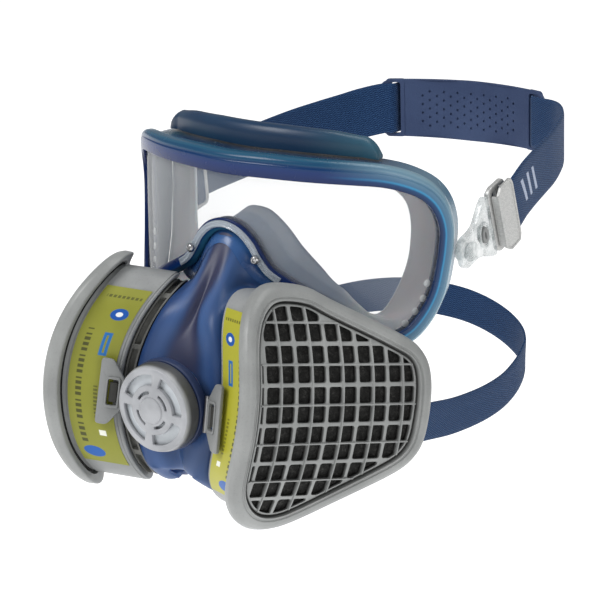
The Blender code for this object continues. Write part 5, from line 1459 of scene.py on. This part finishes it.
dense = np.stack([catmull_loop(secs[:, j], 4) for j in range(secs.shape[1])], 1)
v, f = loft(fillet_rows(dense, [0.4, 2.5, 1.6, 0.5, 0.5, 1.6, 2.5, 0.4], 3))
piece("half_mask_lip", v, f, M["seal"], BODY, ["half_mask_seal"], angle=60)

# ------------------------------------------------------------------ exhalation valve
VALVE_Z = -20.6
SEAT_Y0, SEAT_Y1, SEAT_R = -91.4, -97.2, 19.3
COVER_Y0, COVER_Y1, COVER_R0, COVER_R1 = -97.6, -104.6, 18.9, 17.2


def place_y(x, y, a):
    return np.array([x, a, VALVE_Z + y])


v, f = lathe([(12.6, SEAT_Y0), (SEAT_R - 2.2, SEAT_Y0), (SEAT_R, SEAT_Y0 - 2.0), (SEAT_R, SEAT_Y1), (17.0, SEAT_Y1), (17.0, -94.2), (12.6, -94.2)], 96, place_y, 0.6)
piece("valve_base", v, f, M["navy"], BODY, ["valve_seat"])


def ring_pts(r, n):
    return np.array([(r * math.cos(2 * math.pi * k / n), r * math.sin(2 * math.pi * k / n)) for k in range(n)])


def arc_slot(r0, r1, a0, a1, n):
    o = [(r1 * math.cos(a), r1 * math.sin(a)) for a in np.radians(np.linspace(a0, a1, n))]
    i = [(r0 * math.cos(a), r0 * math.sin(a)) for a in np.radians(np.linspace(a1, a0, n))]
    return np.array(o + i)


slots = []
ROT = -9.0
for k in range(4):
    c_ = 45 + 90 * k + ROT
    slots.append(fillet2(arc_slot(10.6, 15.0, c_ - 36.5, c_ + 36.5, 18), 0.5, 3))
    slots.append(fillet2(arc_slot(6.9, 8.1, c_ - 27, c_ + 27, 10), 0.35, 2))
NS = 96


def face_pt(u, w, n):
    r2 = (u * u + w * w) / COVER_R1 ** 2
    return np.array([u, COVER_Y1 + n - 1.0 * (1 - r2), VALVE_Z + w])


extra = [tuple(p) for r, m in ((2.5, 8), (5.0, 16), (9.3, 28), (16.1, 60)) for p in ring_pts(r, m)]
extra = [p for p in extra if not any(inside(p, inset(h, -0.5)) for h in slots)]
v, f = plate(ring_pts(COVER_R1, NS), slots, face_pt, 0.0, 1.9, bev=0.12, nb=2, extra=extra, bev_hole=0.3)
parts = [(v, f, {"face": np.where(v[:, 1] < COVER_Y1 + 1.2, 1.0, 0.4)})]
pv, pf = lathe([(COVER_R0 - 1.8, COVER_Y0), (COVER_R0 - 0.3, COVER_Y0), (COVER_R0, COVER_Y0 - 0.9), (COVER_R0 - 0.25, COVER_Y0 - 4.2), (COVER_R1 + 0.9, COVER_Y1 + 1.0),
                (COVER_R1 + 0.5, COVER_Y1 + 0.05), (COVER_R1 - 0.3, COVER_Y1 - 0.05), (COVER_R1 - 0.6, COVER_Y1 + 0.5), (COVER_R1 - 1.8, COVER_Y1 + 1.9)], NS, place_y, 0.6, 4)
parts.append((pv, pf, {"face": np.clip((COVER_Y1 + 2.3 - pv[:, 1]) / 1.6, 0, 1)}))
# pale membrane just behind the windows
pv, pf = lathe([(0, COVER_Y1 + 1.0), (15.9, COVER_Y1 + 2.0), (15.9, COVER_Y1 + 2.6), (0, COVER_Y1 + 2.2)], 64, place_y)
parts.append((pv, pf, {"face": np.full(len(pv), 2.0)}))
# raised disc at the centre
pv, pf = lathe([(0, COVER_Y1 - 1.6), (5.2, COVER_Y1 - 1.5), (5.6, COVER_Y1 - 1.1), (5.6, COVER_Y1 + 0.4), (0, COVER_Y1 + 0.4)], 64, place_y, 0.35)
parts.append((pv, pf, {"face": np.ones(len(pv))}))
v, f, at = join_parts(parts)
piece("valve_cap", v, f, M["valve"], "valve_cover_body", ["valve_cover"], at, 40)

# ------------------------------------------------------------------ nose fittings
idx = [i for i in range(n_ring) if abs(ring[i, 0]) <= 16.5 and ring[i, 1] < 50]
order = sorted(idx, key=lambda i: ring[i, 0])
secs = []
for q, i in enumerate(order):
    W = ring[i, 2]
    e = min(1.0, 0.35 + 0.65 * math.sin(min(q, len(order) - 1 - q) / 5.0 * math.pi / 2)) if min(q, len(order) - 1 - q) < 5 else 1.0
    secs.append([rim_pt(i, -1.5, 2.75), rim_pt(i, -0.9, 2.8 + 1.4 * e), rim_pt(i, 0.35, 2.8 + 0.7 * e), rim_pt(i, W - 2.3, 2.8 + 1.4 * e), rim_pt(i, W - 1.5, 2.75)])
v, f = loft(fillet_rows(secs, [0.3, 0.6, 0.5, 0.6, 0.3], 3), closed=False)
piece("nose_bead", v, f, M["nose_clear"], BODY, ["nose_clamp"], angle=60)
best = min(range(n_ring), key=lambda i: abs(ring[i, 0] - 10.4) + abs(ring[i, 1] - 34.5))
pc = rim_pt(best, 0.4, 4.5)
ax = unit(np.array([pc[0], pc[1] - LENS_YC, 0.0]))
e1 = unit(np.cross(ax, [0, 0, 1.0]))
e2 = np.cross(ax, e1)
v, f = lathe([(0, 0.0), (1.9, 0.0), (1.9, 1.1), (1.2, 1.8), (0.75, 1.8), (0.6, 1.1), (0, 1.1)], 32, lambda x, y, a: pc + e1 * x + e2 * y + ax * a, 0.2, 2)
pair("nose_fastener", v, f, M["steel"], BODY, "nose_screw")

# ------------------------------------------------------------------ upper harness
X0, PIVOT_Y, PIVOT_Z = 80.6, 4.0, 35.0
CLIP_ANGLES = {1: 21.0, -1: 7.0}
v, f = lathe([(0, X0 - 1.7), (4.6, X0 - 1.7), (4.6, X0 - 0.4), (3.0, X0 - 0.4), (3.0, X0 + 3.6), (4.3, X0 + 3.6), (4.3, X0 + 4.8), (0, X0 + 4.8)], 48,
             lambda x, y, a: np.array([a, PIVOT_Y + x, PIVOT_Z + y]), 0.45)
pair("clip_hub", v, f, M["clear"], BODY, "clip_pivot")


def clip_pt(s, w, x, side=1):
    a = math.radians(CLIP_ANGLES[side])
    ca, sa = math.cos(a), math.sin(a)
    return np.array([side * (X0 + x), PIVOT_Y + s * ca - w * sa, PIVOT_Z + s * sa + w * ca])


out = catmull_loop([(-5.5, -4.5), (-2.0, -7.0), (4.0, -7.2), (9.0, -9.0), (15.5, -13.2), (20.2, -14.0), (20.2, -4.7), (20.2, 4.7), (20.2, 14.0), (15.5, 13.2), (9.0, 8.0), (4.0, 6.8), (-2.0, 7.0), (-5.5, 4.5)], 4)


def circ(cu, cv, ru, rv, n=32):
    return np.array([(cu + ru * math.cos(a), cv + rv * math.sin(a)) for a in np.linspace(0, 2 * math.pi, n, endpoint=False)])


bk = fillet2([(21.0, -14.0), (24.0, -16.0), (34.0, -15.0), (35.5, -12.5), (35.5, 12.5), (34.0, 15.0), (24.0, 16.0), (21.0, 14.0)], 1.6, 4)
s1 = fillet2([(24.2, -13.4), (27.6, -13.4), (27.6, 13.4), (24.2, 13.4)], 0.6, 3)
s2 = fillet2([(29.4, -13.4), (33.0, -13.4), (33.0, 13.4), (29.4, 13.4)], 0.6, 3)
LEV = [(22.4, -12.8), (26.0, -16.0), (34.0, -16.0), (35.4, -12.8), (35.4, 12.8), (34.0, 16.0), (26.0, 16.0), (22.4, 12.8)]
lev = fillet2(LEV, 0.9, 4)
lev_in = fillet2(inset(LEV, 1.1), 0.6, 3)


def web_path(side):
    s = side
    a = math.radians(CLIP_ANGLES[s])
    b = [clip_pt(24.6, 0, -0.8, s), clip_pt(29.6, 0, -0.5, s), clip_pt(30.8, 0, 0.4, s), clip_pt(31.6, 0, 3.4, s),
         clip_pt(33.0, 0, 4.3, s), clip_pt(38.0, 0, 4.5, s)]
    wb = [np.array([0, -math.sin(a), math.cos(a)])] * len(b)
    if s > 0:
        mid = [(83.4, 50, 52.0), (81.0, 62, 54.0), (78.6, 76, 56.2), (76.6, 88, 58.2), (73.6, 100, 60.4), (69.2, 112, 62.2), (63.0, 121, 63.0), (55.2, 128.6, 62.8)]
        lean = [-0.30, -0.26, -0.22, -0.18, -0.12, -0.08, -0.04, 0.0]
    else:
        mid = [(-84.0, 50, 41.0), (-82.2, 62, 42.6), (-80.2, 76, 44.4), (-77.6, 90, 46.4), (-73.6, 102, 48.6), (-67.6, 113, 51.0), (-61.0, 121.5, 53.4), (-54.2, 128.8, 55.8)]
        lean = [-0.13, -0.12, -0.12, -0.1, -0.08, -0.06, -0.04, 0.0]
    wm = [unit(np.array([0.0, q, 1.0])) for q in lean]
    e = [pad_pt(s * 46.6, 0, -2.9), pad_pt(s * 42.4, 0, -2.7), pad_pt(s * 40.6, 0, -1.3), pad_pt(s * 39.4, 0, 1.3), pad_pt(s * 37.6, 0, 2.9), pad_pt(s * 29.0, 0, 2.9)]
    we = [np.array([-math.sin(rl_), 0, math.cos(rl_)])] * len(e)
    return b + [np.array(p, float) for p in mid] + e, wb + wm + we


PAD_Y, PAD_Z, PAD_SAG, PAD_SLOT = 139.5, 60.5, 8.5, 40.0
rl_ = math.radians(2.0)


def pad_pt(s, w, d):
    r = (PAD_SLOT ** 2 + PAD_SAG ** 2) / (2 * PAD_SAG)
    a = s / r
    x, y = (r + d) * math.sin(a), PAD_Y + PAD_SAG - r + (r + d) * math.cos(a)
    return np.array([x * math.cos(rl_) - w * math.sin(rl_), y, PAD_Z + x * math.sin(rl_) + w * math.cos(rl_)])


UP = "upper_harness"
for side, tag in ((1, "_left"), (-1, "_right")):
    def sp(s, w, n, side=side):
        return clip_pt(s, w, n, side)
    v, f = plate(out, [circ(0, 0, 3.35, 3.35), circ(12.5, 0, 2.7, 4.4)], sp, 3.3, 0.0, bev=0.5, nb=3, extra=rows_in(out, 2.5, 2.5, 1.6, [circ(0, 0, 3.35, 3.35), circ(12.5, 0, 2.7, 4.4)]))
    parts = [(v, f, None)]
    pv, pf = plate(circ(12.5, 0, 4.4, 6.4, 40), [circ(12.5, 0, 3.1, 4.9, 40)], sp, 4.0, 3.1, bev=0.25, nb=2)
    parts.append((pv, pf, None))
    v, f, _a = join_parts(parts)
    piece("clip_body" + tag, v, f, M["clear"], UP, ["strap_clip" + tag])
    v, f = plate(circ(12.5, 0, 2.3, 4.0), [circ(12.5, 0, 0.55, 1.7, 16)], sp, 4.3, 0.9, bev=0.35, nb=3)
    piece("clip_press" + tag, v, f, M["latch"], "clip_button" + tag + "_body", ["clip_button" + tag])
    v, f = plate(bk, [s1, s2], sp, 3.0, 0.8, bev=0.45, nb=3)
    piece("buckle_frame" + tag, v, f, M["buckle"], UP, ["buckle" + tag])

    def lp(s, w, n, side=side):
        return clip_pt(s, w, n, side)
    v, f = plate(lev, [], lp, 6.85, 5.6, bev=0.35, nb=3)
    parts = [(v, f, None)]
    pv, pf = plate(lev, [lev_in], lp, 7.1, 6.2, bev=0.2, nb=2)
    parts.append((pv, pf, None))
    pv, pf = plate(fillet2([(22.45, -12.6), (23.7, -12.6), (23.7, 12.6), (22.45, 12.6)], 0.3, 2), [], lp, 6.3, 3.35, bev=0.2, nb=2)
    parts.append((pv, pf, None))
    v, f, _a = join_parts(parts)
    piece("buckle_cam" + tag, v, f, M["buckle"], "buckle_lever" + tag + "_body", ["buckle_lever" + tag])
    path, wid = web_path(side)
    v, f, at = ribbon(path, wid, 25.0, 1.4)
    piece("head_web" + tag, v, f, M["web_marked"] if side > 0 else M["web"], UP, ["upper_strap" + tag], at, 60)

# head pad
po = fillet2([(-49.0, -9.0), (-47.0, -13.0), (-42.0, -14.4), (0.0, -15.0), (42.0, -14.4), (47.0, -13.0), (49.0, -9.0),
              (49.0, 9.0), (47.0, 13.0), (42.0, 14.4), (0.0, 15.0), (-42.0, 14.4), (-47.0, 13.0), (-49.0, 9.0)], 3.0, 4)
po = resample(po, 3.2)
ph = []
for s in (1, -1):
    a, b = PAD_SLOT - 2.2, PAD_SLOT + 2.2
    ph.append(fillet2([(s * a, -12.9), (s * b, -12.9), (s * b, 12.9), (s * a, 12.9)], 1.2, 3))
for ci in range(-7, 8):
    for cj in range(-2, 3):
        x, y = ci * 3.75, cj * 4.3 + (2.1 if ci % 2 else 0.0)
        if abs(y) > 10.0:
            continue
        ph.append(circ(x, y, 0.62, 0.62, 10))
px = [p for p in rows_in(po, 3.4, 4.3, 1.3, ph) if all(np.min(np.hypot(*(h - p).T)) > 0.7 for h in ph)]
v, f = plate(po, ph, pad_pt, 1.0, -1.0, bev=0.5, nb=3, extra=px, bev_hole=0.14)
parts = [(v, f, None)]
pv, pf = plate(resample(fillet2([(-36.0, -12.6), (36.0, -12.6), (36.0, 12.6), (-36.0, 12.6)], 1.5, 3), 2.5), [], pad_pt, 0.2, -0.3, bev=0.1, nb=1,
               extra=[(x, y) for x in np.arange(-34, 35, 4.0) for y in (-8.0, -3.0, 3.0, 8.0)])
parts.append((pv, pf, None))
# thicker loops round the strap slots
for s in (1, -1):
    a, b = PAD_SLOT - 2.2, PAD_SLOT + 2.2
    lo_ = fillet2([(s * (a - 2.2), -14.6), (s * (b + 2.6), -14.5), (s * (b + 4.6), -10.5), (s * (b + 4.6), 10.5), (s * (b + 2.6), 14.5), (s * (a - 2.2), 14.6)], 1.6, 4)
    li_ = fillet2([(s * (a - 0.02), -12.92), (s * (b + 0.02), -12.92), (s * (b + 0.02), 12.92), (s * (a - 0.02), 12.92)], 1.2, 3)
    pv, pf = plate(lo_, [li_], pad_pt, 1.45, -1.4, bev=0.35, nb=3, bev_hole=0.2)
    parts.append((pv, pf, None))
v, f, _a = join_parts(parts)
pad = piece("crown_pad", v, f, M["pad"], UP, ["head_pad"])

# ------------------------------------------------------------------ neck strap
half_n = [(67.2, -9.0, -41.5), (67.0, 4.0, -44.0), (66.8, 22.0, -47.3), (66.8, 42.0, -49.2), (66.8, 58.0, -49.4), (66.2, 72.0, -48.2), (64.6, 86.0, -44.6),
          (60.6, 98.0, -40.2), (51.5, 107.5, -36.8), (37.0, 114.6, -32.8), (19.0, 118.8, -29.8), (0.0, 120.0, -29.0)]
hn = np.array(half_n)
pth = np.vstack([mirror(hn)[:-1], hn[::-1]])
v, f, at = ribbon(pth, [np.array([0.0, 0.0, 1.0])] * len(pth), 17.0, 1.4, n_w=10)
piece("neck_web", v, f, M["web"], "neck_loop", ["neck_strap"], at, 60)
path = [(52.2, -20.5, -33.5), (57.5, -16.8, -37.0), (61.5, -12.5, -40.0), (64.3, -9.6, -41.2), (64.9, -7.2, -41.2)]
wd = [(0, 0.2, 1.0), (0, 0.1, 1.0), (0, 0, 1.0), (0, 0, 1.0), (0, 0, 1)]
v, f, at = ribbon(path, wd, 12.0, 2.2, n_w=8)
pair("neck_lug", v, f, M["bracket"], BODY, "neck_bracket", angle=50)

# ------------------------------------------------------------------ carried-over nodes
for n, o in NODES.items():
    if o.hide_render:
        continue
    key = "steel" if "pin" in n else "flap" if n == "exhalation_flap" else "rubber"
    o.data.materials.clear()
    o.data.materials.append(M[key].m)

lo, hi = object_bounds()
